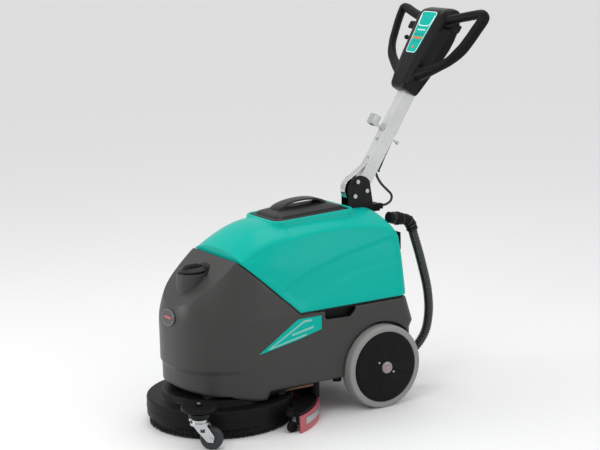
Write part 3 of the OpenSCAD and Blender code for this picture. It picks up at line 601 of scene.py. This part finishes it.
def sm(t):
    """Smooth step from 0 to 1."""
    t = min(max(t, 0.0), 1.0)
    return t * t * (3 - 2 * t)


# Upper and lower crease of the side: x and z of each, with a shallow hollow between them
CREASE_C = ([-100, -86, 50, 164, 285, 320], [478, 478, 467, 443, 378, 350])
CREASE_D = ([-100, -67, 108, 221, 320, 360], [560, 559, 529, 501, 466, 440])
# The lid's rear end, front end and half width
LID = (32, 322, 92)
# Heights of the lid's seat and of the rim round it, before the seat's tilt
MOUTH, RIM_TOP = 640, 648.6
SEAT_TILT = math.radians(2)


def S(x, y, z):
    """A point of the lid's seat, which rises towards the rear."""
    dx, dz = x - LID[1], z - MOUTH
    return P(LID[1] + dx * math.cos(SEAT_TILT) + dz * math.sin(SEAT_TILT), y,
             MOUTH - dx * math.sin(SEAT_TILT) + dz * math.cos(SEAT_TILT))


SEAL_H, HOLLOW = 8, 3.8
TANK_FRONT, SECTION_POINTS = 492, 110


def tank_section(x):
    """Half section (y, z) of the tank at x, from its lower edge over the shoulder to the middle."""
    zb = float(split_at(x)) + SEAL_H
    zs, zc = max(shoulder_z(x), zb + 2), max(crown_z(x), zb + 4)
    yb, ys = side_y(x, zb), min(side_y(x, zs), 166)
    ym = side_y(x, (zb + zs) / 2)
    h = zs - zb
    ctrl = [np.array(p, float) for p in (
        (yb - 3, zb), (yb, zb + min(4, h * 0.2)), (ym * 0.5 + yb * 0.5, zb + h * 0.3), (ym, zb + h * 0.62),
        (ys + 4, zs - min(18, h / 4)), (ys + 1.5, zs - min(5, h / 8)), (ys + 1.5, zs - min(5, h / 8)),
        (ys - 9, zs + (zc - zs) * 0.14), (ys * 0.72, zs + (zc - zs) * 0.55),
        (ys * 0.4, zs + (zc - zs) * 0.92), (0, zc))]
    line = np.array(chaikin(ctrl, 3))
    s = np.r_[0, np.cumsum(np.linalg.norm(np.diff(line, axis=0), axis=1))]
    t = np.linspace(0, s[-1], SECTION_POINTS)
    y, z = np.interp(t, s, line[:, 0]), np.interp(t, s, line[:, 1])
    zC, zD = np.interp(x, *CREASE_C), np.interp(x, *CREASE_D)
    fade = sm((x + 118) / 30)
    out = []
    for a, b in zip(y, z):
        k = sm((b - zC) / 7) * (1 - sm((b - zD + 7) / 14)) * fade * sm((b - zb - 1) / 40)
        low = sm((zC - b) / 30) * sm((300 - x) / 60) * fade * 0.4
        a2 = a - HOLLOW * k * (a > 100) + 1.2 * low * (a > 100) * sm((b - zb) / 12)
        out.append((a2, b))
    return out


def make_tank():
    xs = np.unique(np.r_[np.linspace(-120, -80, 22), np.linspace(-80, 500, 230),
                         [TANK_FRONT - 1, TANK_FRONT]])
    rings = []
    last = TANK_FRONT - 2
    for x in xs[xs <= TANK_FRONT]:
        sec = tank_section(min(x, last))
        if x > last:
            zc = (sec[0][1] + sec[-1][1]) / 2
            k = 1 - (x - last) * 0.06
            sec = [(a * (1 - (x - last) * 0.004), zc + (b - zc) * k) for a, b in sec]
        if x < -117:
            k = 1 - 0.004 * (-117 - x)
            sec = [(a * k, b) for a, b in sec]
        rings.append([P(x, a, b) for a, b in sec] + [P(x, -a, b) for a, b in sec[-2::-1]])
    ob = loft("recovery_tank_shell", rings, None, "teal_plastic", angle=40)
    # Mouth and seat of the lid, slot for the post, hollow inside
    boolean(ob, [bar_cut(48, 306, 78, 18, 560, 700), bar_cut(31, 323, 93, 23, 635.7, 720),
                 box_cut((-140, -30, 300), (16, 30, 720)), box_cut((40, -120, 380), (298, 120, 600))])
    sharpen(ob, 34)
    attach(ob, "chassis")
    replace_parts(ob, "recovery_tank")


make_tank()


def hood_z(x, y):
    """Height of the tank's top at x and y."""
    sec = tank_section(min(x, 480))[::-1]
    a, b = [q[0] for q in sec if q[0] < 150], [q[1] for q in sec if q[0] < 150]
    return float(np.interp(abs(y), a, b))


def lid_outline(d, n=10, m=30):
    """The lid's outline grown by d, with m points along each straight edge."""
    p = rounded(LID[0] - d, LID[1] + d, LID[2] + d, 23 + d, n)
    out = []
    for k in range(4):
        out += p[k * n:(k + 1) * n]
        a, b = p[(k + 1) * n - 1], p[((k + 1) * n) % (4 * n)]
        out += [(a[0] + (b[0] - a[0]) * t / (m + 1), a[1] + (b[1] - a[1]) * t / (m + 1))
                for t in range(1, m + 1)]
    return out


def make_lid_rim():
    """Raised rim round the lid that runs out into the tank's top."""
    inner = ((1.5, 634), (1.5, 645.5), (2.2, 647.6), (3.8, RIM_TOP), (6, 648.9), (8.5, RIM_TOP))
    rings = [[S(x, y, z) for x, y in lid_outline(d)] for d, z in inner]
    for d, k in ((10.6, 0.06), (12, 0.22), (13.2, 0.55), (14.6, 0.84), (16.6, 0.97), (21, 1.06)):
        ring = []
        for x, y in lid_outline(d):
            top = S(x, y, RIM_TOP)
            hood = hood_z(x, y) / 1000
            ring.append(Vector((top.x, top.y, top.z + (min(hood, top.z) - top.z) * k)))
        rings.append(ring)
    n, m = len(rings), len(rings[0])
    add("lid_rim", [p for r in rings for p in r], quads(n, m, True), "chassis", "teal_plastic", angle=60)


make_lid_rim()


# ---- Lid: dark cover with an arched handle over a patch of painted shade ----
ARCH_X = 181


def make_lid():
    rings = []
    insets = ((4.6, 640), (3.4, 641), (3.2, 645), (3.6, 646.6), (4.8, 647.6), (6.5, 648), (11.5, 648.5),
              (13, 649.2), (17.5, 655.2), (19, 656.6), (21.5, 657.8), (30, 661), (40, 664.4), (52, 667.6),
              (66, 670), (78, 671))
    for d, z in insets:
        r = min(22 - d * 0.1, LID[2] - d - 1)
        rings.append([S(a, b, z) for a, b in rounded(LID[0] + d, LID[1] - d, LID[2] - d, r, 14)])
    loft("lid_cover", rings, "lid", "lid_plastic", stands_for=["lid"], slot="black_plastic", angle=32)
    rows, n = [], 48
    for i in range(n + 1):
        q = pi * i / n
        hw = 25 + 6 * abs(math.cos(q)) ** 4
        x0, z0 = ARCH_X - 72 * math.cos(q), 671 + 15 * math.sin(q)
        x1, z1 = ARCH_X - 96 * math.cos(q), 663 + 29 * math.sin(q)
        ring = []
        for y, t in ((hw - 4, 1), (hw - 1.2, 0.9), (hw, 0.66), (hw, 0.15), (hw - 1, 0)):
            ring.append(S(x0 + (x1 - x0) * t, y, z0 + (z1 - z0) * t))
        for y, t in ((hw - 1, 0), (hw, 0.15), (hw, 0.66), (hw - 1.2, 0.9), (hw - 4, 1)):
            ring.append(S(x0 + (x1 - x0) * t, -y, z0 + (z1 - z0) * t))
        rows.append(ring)
    loft("lid_handle", rows, "lid", "lid_plastic", slot="black_plastic", angle=50)
    # A dark patch under the arch is painted shade: it stands for the shadow the handle casts on the lid.
    shade_outline = ellipse(69, 25, 48)
    loft("lid_painted_shade", [[S(ARCH_X + a, b, z) for a, b in shade_outline] for z in (668.5, 671.4)], "lid",
         "black_rubber")


make_lid()

# ---- Filler cap ----
CAP_BASE, CAP_TOP = NECK_TOP + 3, NECK_TOP + 13
prof = [(0, 0), (44, 0), (46, 1.5), (46, 5), (44.5, 6.5), (41, 7), (39, 8.5), (38, 10.5), (36, 11), (0, 11.4)]
lathe("filler_cap_disc", prof, P(NECK_X, 0, CAP_BASE), (0, 0, 1), "cap", "lid_plastic",
      stands_for=["filler_cap"], slot="black_plastic", segs=96)
grip_rings = []
for t in np.linspace(-34, 34, 25):
    h = 14 * (1 - (abs(t) / 36) ** 4)
    w = 6.5 - 2 * (1 - abs(t) / 34)
    section = ((-w, 0), (w, 0), (w * 0.9, h * 0.7), (w * 0.5, h), (-w * 0.5, h), (-w * 0.9, h * 0.7))
    grip_rings.append([P(NECK_X + t, y, CAP_TOP + z) for y, z in section])
loft("filler_cap_grip", grip_rings, "cap", "lid_plastic", slot="black_plastic", angle=50)


# ---- Side stripe, on the body's side ----
def strip(name, xs, lo, hi, side, lift, thick, mat, stands_for=()):
    """A thin skin on the body's side between two lines z = lo(x) and hi(x)."""
    n, m = len(xs), 10
    front, back = [], []
    for x in xs:
        for k in range(m):
            z = lo(x) + (hi(x) - lo(x)) * k / (m - 1)
            y = body_side(x, z)
            front.append(P(x, side * (y + lift + thick), z))
            back.append(P(x, side * (y + lift), z))
    faces = quads(n, m) + [tuple(f) for f in quads(n, m, offset=n * m)]
    rim = list(range(m)) + [j * m + m - 1 for j in range(1, n)]
    rim += [(n - 1) * m + k for k in range(m - 2, -1, -1)] + [j * m for j in range(n - 2, 0, -1)]
    for a, b in zip(rim, rim[1:] + rim[:1]):
        faces.append((a, b, b + n * m, a + n * m))
    add(name, front + back, faces, "chassis", mat, stands_for=stands_for)


def line(xs, zs):
    """A broken line z(x) through the given points."""
    return lambda x: float(np.interp(x, xs, zs))


stripe_lo = line([230, 322, 466], [302, 280, 254])
stripe_hi = line([230, 318, 334, 466], [347.5, 347.5, 339, 255])


def stripes(s, side):
    """The teal stripe with two pale lines and a dash."""
    strip("side_stripe_" + side, np.linspace(231, 466, 70), stripe_lo, stripe_hi, s, 0.02, 0.8,
          "teal_plastic", ["side_decals"] if s > 0 else ())
    up, up_width = line([250, 296, 440], [341, 341, 262.5]), line([268, 300, 432], [7, 7, 4])
    strip("side_line_up_" + side, np.linspace(268, 432, 50), lambda x: up(x) - up_width(x), up, s, 0.8,
          0.25, "pale_stripe")
    down, down_width = line([250, 330, 430], [297.5, 283, 264]), line([290, 424], [5.5, 4])
    strip("side_line_down_" + side, np.linspace(290, 424, 50), down, lambda x: down(x) + down_width(x), s,
          0.8, 0.25, "pale_stripe")
    strip("side_dash_" + side, np.linspace(262, 344, 30), line([262, 344], [311, 296]),
          line([262, 344], [318, 302]), s, 0.8, 0.25, "pale_stripe")


both(stripes)

# ---- Oval badge, plain ----
BADGE_TILT = math.radians(82)
b1, b2 = Vector((math.cos(BADGE_TILT), 0, -math.sin(BADGE_TILT))), Vector((0, 1, 0))
bn = b1.cross(b2)
base = P(674.5, 0, 367)


def oval(k):
    return ellipse(29 * k, 44 * k, 72)


prism("badge_rim", oval(1), base, b1, b2, 6.6, "chassis", "badge_face", stands_for=["front_badge"],
      slot="black_plastic", bevel=1.6)
rings = [[base + b1 * (a / 1000) + b2 * (b / 1000) + bn * (h / 1000) for a, b in oval(k)]
         for k, h in ((0.88, 6.3), (0.88, 7.0), (0.85, 7.3), (0.82, 7.0), (0.82, 6.3))]
add("badge_line", [p for r in rings for p in r], quads(len(rings), len(rings[0]), True), "chassis",
    "pale_metal_print", angle=60)
prism("badge_bar", rounded(-4, 4, 22, 3.9, 8), base + bn * 0.0064, b1, b2, 0.9, "chassis", "red_blade",
      slot="red_blade", bevel=0.3)


# ---- Wheels ----
def wheel(s, side):
    """Tyre, ribbed hub disc with two screws, and a cap with a plain ring in place of its mark."""
    body = side + "_wheel"
    c = P(0, WHEEL_Y * s, WHEEL_R)
    ax = (0, s, 0)
    prof = [(117.5, -54), (133, -55), (137, -54), (139.3, -51), (140, -47), (140, -8), (139.3, -4), (137, -1),
            (133, 0), (122, 0), (119.5, -0.8), (118.2, -3), (117.5, -6)]
    lathe("tyre_" + side, prof, c, ax, body, "grey_tyre", stands_for=["tyre_" + side], segs=160, loop=True,
          angle=40)
    prof = [(8.05, -53), (30, -53), (30, -10), (110, -10), (110, -53), (117.9, -53), (117.9, -3), (117, 1.2),
            (114, 1.8), (111, 2), (108.5, 4.6), (104, 5), (30, 5), (28, 5.8), (21, 5.8), (8.05, 5.8)]
    lathe("hub_" + side, prof, c, ax, body, "black_plastic", stands_for=["hub_" + side], segs=160,
          loop=True, angle=28)
    for k in range(8):
        q = math.radians(22.5 + 45 * k)
        e1, e2 = Vector((math.cos(q), 0, math.sin(q))), Vector((-math.sin(q), 0, math.cos(q)))
        prism(f"hub_rib_{side}_{k}", [(34, -0.9), (101, -0.9), (101, 0.9), (34, 0.9)],
              c + Vector((0, s * 0.0049, 0)), e1, e2, -0.9 * s, body, "black_plastic", bevel=0.35)
    for q in (0.6, 0.6 + pi):
        p = c + Vector((34 * math.cos(q), 0, 34 * math.sin(q))) / 1000 + Vector((0, s * 0.005, 0))
        lathe(f"hub_screw_{side}_{int(q)}", [(0, 0), (3.4, 0), (3.2, 1.2), (2, 1.9), (0, 2)], p, ax, body,
              "zinc", segs=20)
    prof = [(0, 3.5), (19.5, 3.5), (20.5, 6), (20.3, 9), (18.5, 12), (15.5, 13.2), (14.5, 12.8), (0, 13.0)]
    lathe("hub_cap_" + side, prof, c, ax, body, "cap_metal", slot="zinc", stands_for=["hub_cap_" + side],
          segs=72)
    prof = [(9.5, 12.9), (9.9, 13.5), (10.7, 13.5), (11.1, 12.9)]
    lathe("hub_cap_ring_" + side, prof, c, ax, body, "red_blade", segs=60, loop=True)


both(wheel)


# ---- Brush: tufts round the ring ----
def make_bristles():
    rng = np.random.default_rng(7)
    verts, faces = [], []
    c = P(BRUSH_X, 0, 0)
    rows = ((214, 520), (208, 480), (200, 380), (185, 260), (160, 200), (130, 160), (100, 120), (75, 90))
    for r0, count in rows:
        for k in range(count):
            q = 2 * pi * (k + rng.uniform(-0.3, 0.3)) / count
            clump = 2 * pi * (int(k / 6) * 6 + 2.5) / count
            qa = q + (clump - q) * 0.35
            flare = 1.0 + 0.082 * (r0 / 214) ** 6
            ra, rb = r0 - 3 + rng.uniform(-1, 1), min(r0 * flare + rng.uniform(-3, 1.5), 233.4)
            z0 = rng.uniform(0.0, 2.5)
            w = 1.25 if r0 > 190 else 2.2
            a0 = len(verts)
            tuft = ((ra, 46, qa, w), ((ra + rb) / 2 - 1, 22, (qa + q) / 2, w), (rb, z0, q, w * 0.8))
            for r, z, qq, ww in tuft:
                p = c + Vector((r * math.cos(qq), r * math.sin(qq), z)) / 1000
                t = Vector((-math.sin(qq), math.cos(qq), 0)) * (ww / 1000)
                d = Vector((math.cos(qq), math.sin(qq), 0)) * (ww / 1000)
                verts += [p + t, p + d, p - t, p - d]
            faces += quads(3, 4, True, a0) + [tuple(range(a0, a0 + 4)), tuple(range(a0 + 8, a0 + 12))]
    me = bpy.data.meshes.new("bristle_tufts")
    me.from_pydata([tuple(v) for v in verts], [], faces)
    bm = bmesh.new()
    bm.from_mesh(me)
    bmesh.ops.recalc_face_normals(bm, faces=bm.faces)
    bm.to_mesh(me)
    bm.free()
    ob = bpy.data.objects.new("bristle_tufts", me)
    bpy.context.scene.collection.objects.link(ob)
    me.materials.append(M["bristle_nylon"])
    me.shade_smooth()
    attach(ob, "brush")
    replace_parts(ob, "bristles")


make_bristles()

# ---- Deck shroud, with a rolled rim ----
deck = P(BRUSH_X, 0, 0)
prof = [(235, 32), (239.6, 32), (240, 34), (240, 84), (239, 88.5), (236, 91.5), (232, 92), (194, 92),
        (190, 93.5), (188, 97), (187, 110), (185.5, 113.5), (182, 115), (26, 115), (26, 109), (180, 109),
        (184, 86), (235, 86)]
lathe("deck_cover", prof, deck, (0, 0, 1), "chassis", "black_plastic", stands_for=["deck_shroud"], segs=200,
      loop=True, angle=30)
prof = [(239.5, 55), (240.9, 56), (240.9, 58), (239.5, 59)]
lathe("deck_band", prof, deck, (0, 0, 1), "chassis", "black_plastic", segs=200, loop=True)


# ---- Handle head ----
def head_ring(w, uf, ur, hw, ch):
    """One closed ring of the head at w: front face at uf, rear at ur, half width hw, chamfer ch."""
    pts = [(ur, -hw + 2), (uf - ch - 4, -hw), (uf - ch, -hw), (uf - 1.5, -hw + ch * 0.8), (uf, -hw + ch + 2)]
    pts += [(uf, -hw * 0.5), (uf, 0)]
    pts += [(a, -b) for a, b in pts[-2::-1]] + [(ur, 0)]
    return [C(a, b, w) for a, b in pts]


def lerp_rows(table, ws):
    """Rows of a table whose first column is w, worked out for every w in ws."""
    t = np.array(table, float)
    return [[w] + [float(np.interp(w, t[:, 0], t[:, k])) for k in range(1, t.shape[1])] for w in ws]


# Front shell: w, front face u, half width, chamfer
HEAD_TOP = 694
FRONT = [(371, 42, 36, 7), (373, 47, 40, 8), (378, 52, 43, 9), (388, 56, 45, 10), (430, 60, 50, 12),
         (485, 62, 57, 12), (560, 62, 65, 12), (640, 62, 73, 12), (655, 60, 72, 12), (668, 54, 70, 12),
         (682, 40, 68, 12), (690, 28, 66, 11), (HEAD_TOP, 18, 62, 9)]


def row_heights(table):
    """The table's own w values with 60 even steps from its lowest up to the top."""
    return sorted(set([r[0] for r in table] + list(np.linspace(table[0][0], HEAD_TOP, 60))))


rings = [head_ring(w, uf, -2, hw, ch) for w, uf, hw, ch in lerp_rows(FRONT, row_heights(FRONT))]
loft("head_cover", rings, "handle", "head_plastic", slot="black_plastic", stands_for=["head_front"], angle=24)
# Rear shell: w, rear face u, half width
BACK = [(374, -20, 30), (378, -23, 34), (392, -26, 36), (460, -33, 46), (540, -43, 54), (565, -44, 58),
        (600, -42, 62), (645, -34, 68), (670, -22, 68), (688, -12, 64), (HEAD_TOP, -8, 60)]
rings = []
for w, ur, hw in lerp_rows(BACK, row_heights(BACK)):
    r = min(9, abs(ur + 2.6) * 0.45)
    pts = [(-3.2, hw)] + [(ur + r - r * math.sin(q), hw - 3 - r + r * math.cos(q))
                          for q in np.linspace(0, pi / 2, 6)]
    pts += [(ur, 0)]
    rings.append([C(a, b, w) for a, b in pts + [(a, -b) for a, b in pts[-2::-1]]])
loft("head_back", rings, "handle", "black_plastic", stands_for=["head_rear"], angle=30)


def head_side(s, side):
    """Rail and three screws on one flank of the head."""
    rows = []
    for w, uf, hw, ch in lerp_rows(FRONT, np.linspace(404, 676, 46)):
        u1, u0 = uf - ch - 3, uf - ch - 14
        section = ((u0, -1.5), (u0, 0.8), (u0 + 1.2, 2.2), (u1 - 1.2, 2.2), (u1, 0.8), (u1, -1.5))
        rows.append([C(u, s * (hw + out), w) for u, out in section])
    loft("head_rail_" + side, rows, "handle", "head_plastic", slot="black_plastic", angle=40)
    for k, (w, u) in enumerate(((412, 24), (522, 30), (640, 16))):
        hw = lerp_rows(FRONT, [w])[0][2]
        prof = [(0, 0), (4.2, 0), (4, 1.3), (2.6, 1.8), (0, 1.6)]
        lathe(f"head_screw_{side}_{k}", prof, C(u, s * (hw - 0.3), w), (0, s, 0), "handle", "black_steel",
              segs=20)


both(head_side)


# ---- Display ----
def panel_outline(y0, y1, w0, w1, r, inset=0.0, n=8):
    """Rounded trapezoid: half width y0 at w0 (low) and y1 at w1 (high)."""
    c = [(y1 - r, w1 - r, 0), (-(y1 - r), w1 - r, 90), (-(y0 - r), w0 + r, 180), (y0 - r, w0 + r, 270)]
    pts = []
    for cy, cw, q0 in c:
        for k in range(n):
            q = math.radians(q0 + 90 * k / (n - 1))
            pts.append((cy + (r - inset) * math.cos(q), cw + (r - inset) * math.sin(q)))
    return pts


# The column's own directions: front, left and along it
front_dir = Vector((math.cos(LEAN), 0, math.sin(LEAN)))
left_dir = Vector((0, 1, 0))
along_dir = Vector((-math.sin(LEAN), 0, math.cos(LEAN)))


def on_face(name, pts, u, t, mat, **kw):
    """A flat outline (y, w) on the head's front at u, t thick."""
    return prism(name, pts, C(u, 0, 0), left_dir, along_dir, t, "handle", mat, **kw)


LOW_HW, TOP_HW, LOW_W, TOP_W, CORNER = 29, 43, 496, 656, 12
FACE_U, PANEL_T = 62.0, 2.0
u_top = FACE_U + PANEL_T


def display_outline(inset=0.0):
    return panel_outline(LOW_HW, TOP_HW, LOW_W, TOP_W, CORNER, inset)


on_face("display_panel", display_outline(), FACE_U, PANEL_T, "teal_plastic", stands_for=["display_panel"],
        bevel=0.5)


def ring_line(name, outer, inner, u, h, mat):
    """A printed line between two outlines (y, w), h thick."""
    n = len(outer)
    v = [C(u + lift, a, b) for lift in (0, h) for ring in (outer, inner) for a, b in ring]
    f = []
    for i in range(n):
        j = (i + 1) % n
        f += [(i, j, n + j, n + i), (2 * n + i, 2 * n + j, 3 * n + j, 3 * n + i),
              (i, j, 2 * n + j, 2 * n + i), (n + i, n + j, 3 * n + j, 3 * n + i)]
    add(name, v, f, "handle", mat)


ring_line("display_border", display_outline(0.8), display_outline(3.2), u_top - 0.05, 0.3, "white_print")


def polyline_strip(name, pts, width, u, mat):
    """A flat printed line along pts (y, w) on the panel."""
    p = np.array(pts, float)
    t = np.gradient(p, axis=0)
    t /= np.linalg.norm(t, axis=1)[:, None]
    nrm = np.stack([-t[:, 1], t[:, 0]], 1) * width / 2
    a, b = p + nrm, p - nrm
    pts2 = [tuple(q) for q in a] + [tuple(q) for q in b[::-1]]
    n = len(p)
    v = [C(u, *q) for q in pts2] + [C(u + 0.25, *q) for q in pts2]
    m = 2 * n
    f = [(i, i + 1, m - 2 - i, m - 1 - i) for i in range(n - 1)]
    f += [tuple(m + k for k in q) for q in f]
    f += [(i, (i + 1) % m, m + (i + 1) % m, m + i) for i in range(m)]
    add(name, v, f, "handle", mat)


half = [(37, 641), (36, 628), (33, 612), (29, 603), (21, 600)]
bowl = half + [(0, 599.5)] + [(-y, w) for y, w in half[::-1]]
polyline_strip("display_screen_line", chaikin([np.array(q, float) for q in bowl], 2), 3.2, u_top,
               "white_print")
polyline_strip("display_dash", [(-22, 584), (0, 583.6), (22, 584)], 3.4, u_top, "white_print")
for k, y in enumerate((-18, 0, 18)):
    icon = [(y + a, 566 + b) for a, b in ellipse(4.2, 3.2, 18)]
    on_face(f"display_icon_{k}", icon, u_top, 0.25, "dark_print")
    for j, dx in enumerate((-4.4, 4.4)):
        prof = [(0, 0), (4.3, 0), (4.1, 0.9), (2.5, 1.5), (0, 1.6)]
        lathe(f"display_led_{k}_{j}", prof, C(u_top - 0.1, y + dx, 551 + 3 * j), tuple(front_dir), "handle",
              "orange_key", segs=18)
for k, y in enumerate((-14, -5, 5, 14)):
    on_face(f"display_tick_{k}", [(y - 3, 538), (y + 3, 538), (y + 3, 540), (y - 3, 540)], u_top, 0.22,
            "dark_print")
prof = [(0, 0), (4.9, 0), (4.9, 1.4), (4, 1.9), (0, 2.1)]
lathe("power_key", prof, C(u_top - 0.4, 0, 518), tuple(front_dir), "key", "orange_key",
      stands_for=["power_button"], segs=32)


# ---- Cable run down the column's rear face ----
run = smooth_line([C(-29.5, 0, 204), C(-31.5, 0, 165), C(-33, 0, 130), C(-33, 0, 100)], 0.004)[0]
tube("column_cable_run", run, lambda d: 0.0058, 16, "handle", "black_rubber", angle=60)


# ---- Raised border of the head's front, and the small tab on its right side ----
def border_outline(inset):
    return panel_outline(37, 57, 396, 664, 16, inset)


def face_u(w):
    return float(np.interp(w, [r[0] for r in FRONT], [r[1] for r in FRONT]))


rings = [[C(face_u(w) + h, a, w) for a, w in border_outline(k)]
         for k, h in ((0, -0.5), (0.4, 0.9), (1.2, 1.3), (2.4, 1.3), (3.2, 0.9), (3.6, -0.5))]
add("head_border", [p for r in rings for p in r], quads(len(rings), len(rings[0]), True), "handle",
    "head_plastic", slot="black_plastic", angle=50)
prof = [(0, 0), (4.5, 0), (4.5, 14), (7, 15), (8, 18), (8, 24), (6.5, 26), (0, 26)]
lathe("head_tab", prof, C(52, -58, 556), (0, -1, 0), "handle", "black_plastic", segs=32)


# ---- Loop handles ----
LOOP = [(33, 60, 641), (32, 100, 650), (28, 150, 664), (22, 203, 680), (20, 226, 682), (18, 234, 665),
        (18, 225, 625), (17, 214, 587), (17, 199, 547), (18, 168, 505), (20, 134, 479), (22, 94, 457),
        (24, 40, 434)]
GRIP_TURN = math.radians(36)


def loop(s, side):
    """Flattened bar: its wide way turns out of the loop's plane along the outer grip."""
    path = smooth_line([C(u, s * y, w) for u, y, w in LOOP], 0.003)[0]
    wide = front_dir * math.cos(GRIP_TURN) - left_dir * (s * math.sin(GRIP_TURN))
    rings, n = [], len(path)
    for i, p in enumerate(path):
        t = Vector(path[min(i + 1, n - 1)] - path[max(i - 1, 0)]).normalized()
        k = i / (n - 1)
        grip = sm((k - 0.28) / 0.1) * (1 - sm((k - 0.62) / 0.15))
        turn = front_dir.lerp(wide, grip)
        a = (turn - t * turn.dot(t)).normalized()
        b = t.cross(a)
        root = sm((k - 0.78) / 0.22)
        ra = 0.0158 + 0.0030 * grip + 0.006 * root
        rb = 0.0158 - 0.0032 * grip + 0.008 * root
        rings.append([Vector(p) + a * da + b * db for da, db in ellipse(ra, rb, 28)])
    stands_for = ["handle_loops"] if s > 0 else ()
    loft("loop_handle_" + side, rings, "handle", "soft_grip", stands_for=stands_for, angle=60)


both(loop)


# ---- Levers ----
LEVER_W = 618


def lever(s, side):
    """A rod out of the head with a flat paddle behind the loop."""
    body = side + "_lever"
    prof = [(0, 0), (5, 0), (5, 77), (4, 78), (0, 78)]
    lathe("lever_rod_" + side, prof, C(22, 62 * s, LEVER_W), (0, s, 0), body, "black_plastic",
          stands_for=["trigger_" + side], segs=28)
    pts = [(100, 8), (100, -9), (104, -14), (139, -14), (144, -9), (144, 12), (141, 14), (112, 14)]
    prism("lever_paddle_" + side, pts, C(18, 0, LEVER_W), Vector((0, s, 0)), along_dir, 8 * s, body,
          "black_plastic", bevel=2)


both(lever)


# ---- Finish of the CAD parts that stay in view ----
def dress(node, mat, bevel):
    """Welds and flattens a CAD part's mesh with modifiers, rounds its edges and paints it."""
    o = NODES[node]
    me = o.data
    me.materials.clear()
    me.materials.append(M[mat])
    custom = me.attributes.get("custom_normal")
    if custom:
        me.attributes.remove(custom)
    me.shade_smooth()
    wd = o.modifiers.new("weld", "WELD")
    wd.merge_threshold = 1e-5
    dc = o.modifiers.new("flat", "DECIMATE")
    dc.decimate_type, dc.angle_limit = "DISSOLVE", math.radians(0.4)
    bv = o.modifiers.new("bevel", "BEVEL")
    bv.width, bv.segments = bevel / 1000, 2
    bv.limit_method, bv.angle_limit = "ANGLE", math.radians(32)
    bv.harden_normals = True


replaced = {n for o in bpy.context.scene.objects for n in o.get("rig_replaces", [])}
BEVELS = {"column_tube": 3.0, "fold_strap": 0.6, "blade_rear": 0.5, "blade_front": 0.5, "batteries": 3.0,
          "tank_seal": 0.3, "lid_gasket": 0.3}
LOOKS = {"caster_wheel": "dark_tyre"}
for name in sorted(NODES):
    if name not in replaced:
        dress(name, LOOKS.get(name, SLOTS[name]), BEVELS.get(name, 0.8))

# ---- Harness loop ----
HARNESS = [(-129.3, 0, 750.6), (-132, 0, 741), (-138, 0, 727), (-152, 0, 706), (-174, 0, 684), (-190, 0, 668),
           (-194, 0, 655), (-189, 0, 643), (-176, 0, 635), (-162, 0, 632), (-153, 0, 632), (-140, 0, 632)]
BRAID_R, BRAID_PITCH, BRAID_DEPTH = 0.0042, 0.0042, 0.0004


def braid_radius(d):
    return BRAID_R + BRAID_DEPTH * math.cos(2 * pi * d / BRAID_PITCH)


h_line = smooth_line([P(*p) for p in HARNESS], 0.0012)[0]
harness = tube("harness_braid", h_line, braid_radius, 16, None, "braid", angle=60)
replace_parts(harness, "harness_loop")
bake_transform(harness)


# ---- Bolt on top of the bumper roller ----
prof = [(0, 0), (5, 0), (5, 2.4), (3, 3.2), (0, 3.4)]
lathe("bumper_bolt", prof, P(706, 239, 146), (0, 0, 1), "chassis", "zinc", segs=24)


# ---- Floor and light ----
def make_floor():
    bpy.ops.mesh.primitive_plane_add(size=60, location=(0, 0, 0))
    floor = bpy.context.object
    floor.name = "floor"
    m = bpy.data.materials.new("floor_paint")
    m.use_nodes = True
    tree, link = m.node_tree, m.node_tree.links.new
    shader = tree.nodes["Principled BSDF"]
    shader.inputs["Base Color"].default_value = (0.80, 0.80, 0.80, 1)
    noise = node(tree, "TexNoise", Scale=3)
    gloss = node(tree, "MapRange", To_Min=0.55, To_Max=0.65)
    link(noise.outputs["Fac"], gloss.inputs["Value"])
    link(gloss.outputs["Result"], shader.inputs["Roughness"])
    floor.data.materials.append(m)


def make_world():
    """A soft dome, brighter overhead."""
    world = bpy.data.worlds.new("world")
    bpy.context.scene.world = world
    world.use_nodes = True
    tree, link = world.node_tree, world.node_tree.links.new
    background = tree.nodes["Background"]
    background.inputs["Strength"].default_value = 1.0
    place = node(tree, "TexCoord")
    split = node(tree, "SeparateXYZ")
    ramp = node(tree, "ValToRGB")
    link(place.outputs["Generated"], split.inputs["Vector"])
    link(split.outputs["Z"], ramp.inputs["Fac"])
    low, high = ramp.color_ramp.elements
    low.position, low.color = 0.0, (0.62, 0.62, 0.62, 1)
    high.position, high.color = 0.9, (1.0, 1.0, 1.0, 1)
    link(ramp.outputs["Color"], background.inputs["Color"])


def area(name, loc, target, size, power):
    """A round soft light at loc that faces target."""
    la = bpy.data.lights.new(name, "AREA")
    la.energy, la.size, la.shape = power, size, "DISK"
    o = bpy.data.objects.new(name, la)
    bpy.context.scene.collection.objects.link(o)
    o.location = loc
    o.rotation_euler = (Vector(target) - Vector(loc)).to_track_quat("-Z", "Y").to_euler()


make_floor()
make_world()
area("key", P(2300, 1500, 3000), P(200, 0, 500), 1.4, 23)
area("side", P(-1500, 3000, 1500), P(0, 0, 450), 1.6, 16)
area("nose", P(3000, -1300, 1100), P(500, 0, 400), 1.2, 26)
area("top", P(-200, -600, 3400), P(200, 0, 500), 1.8, 22)

scene = bpy.context.scene
scene.view_settings.view_transform = "Standard"
scene.render.film_transparent = False
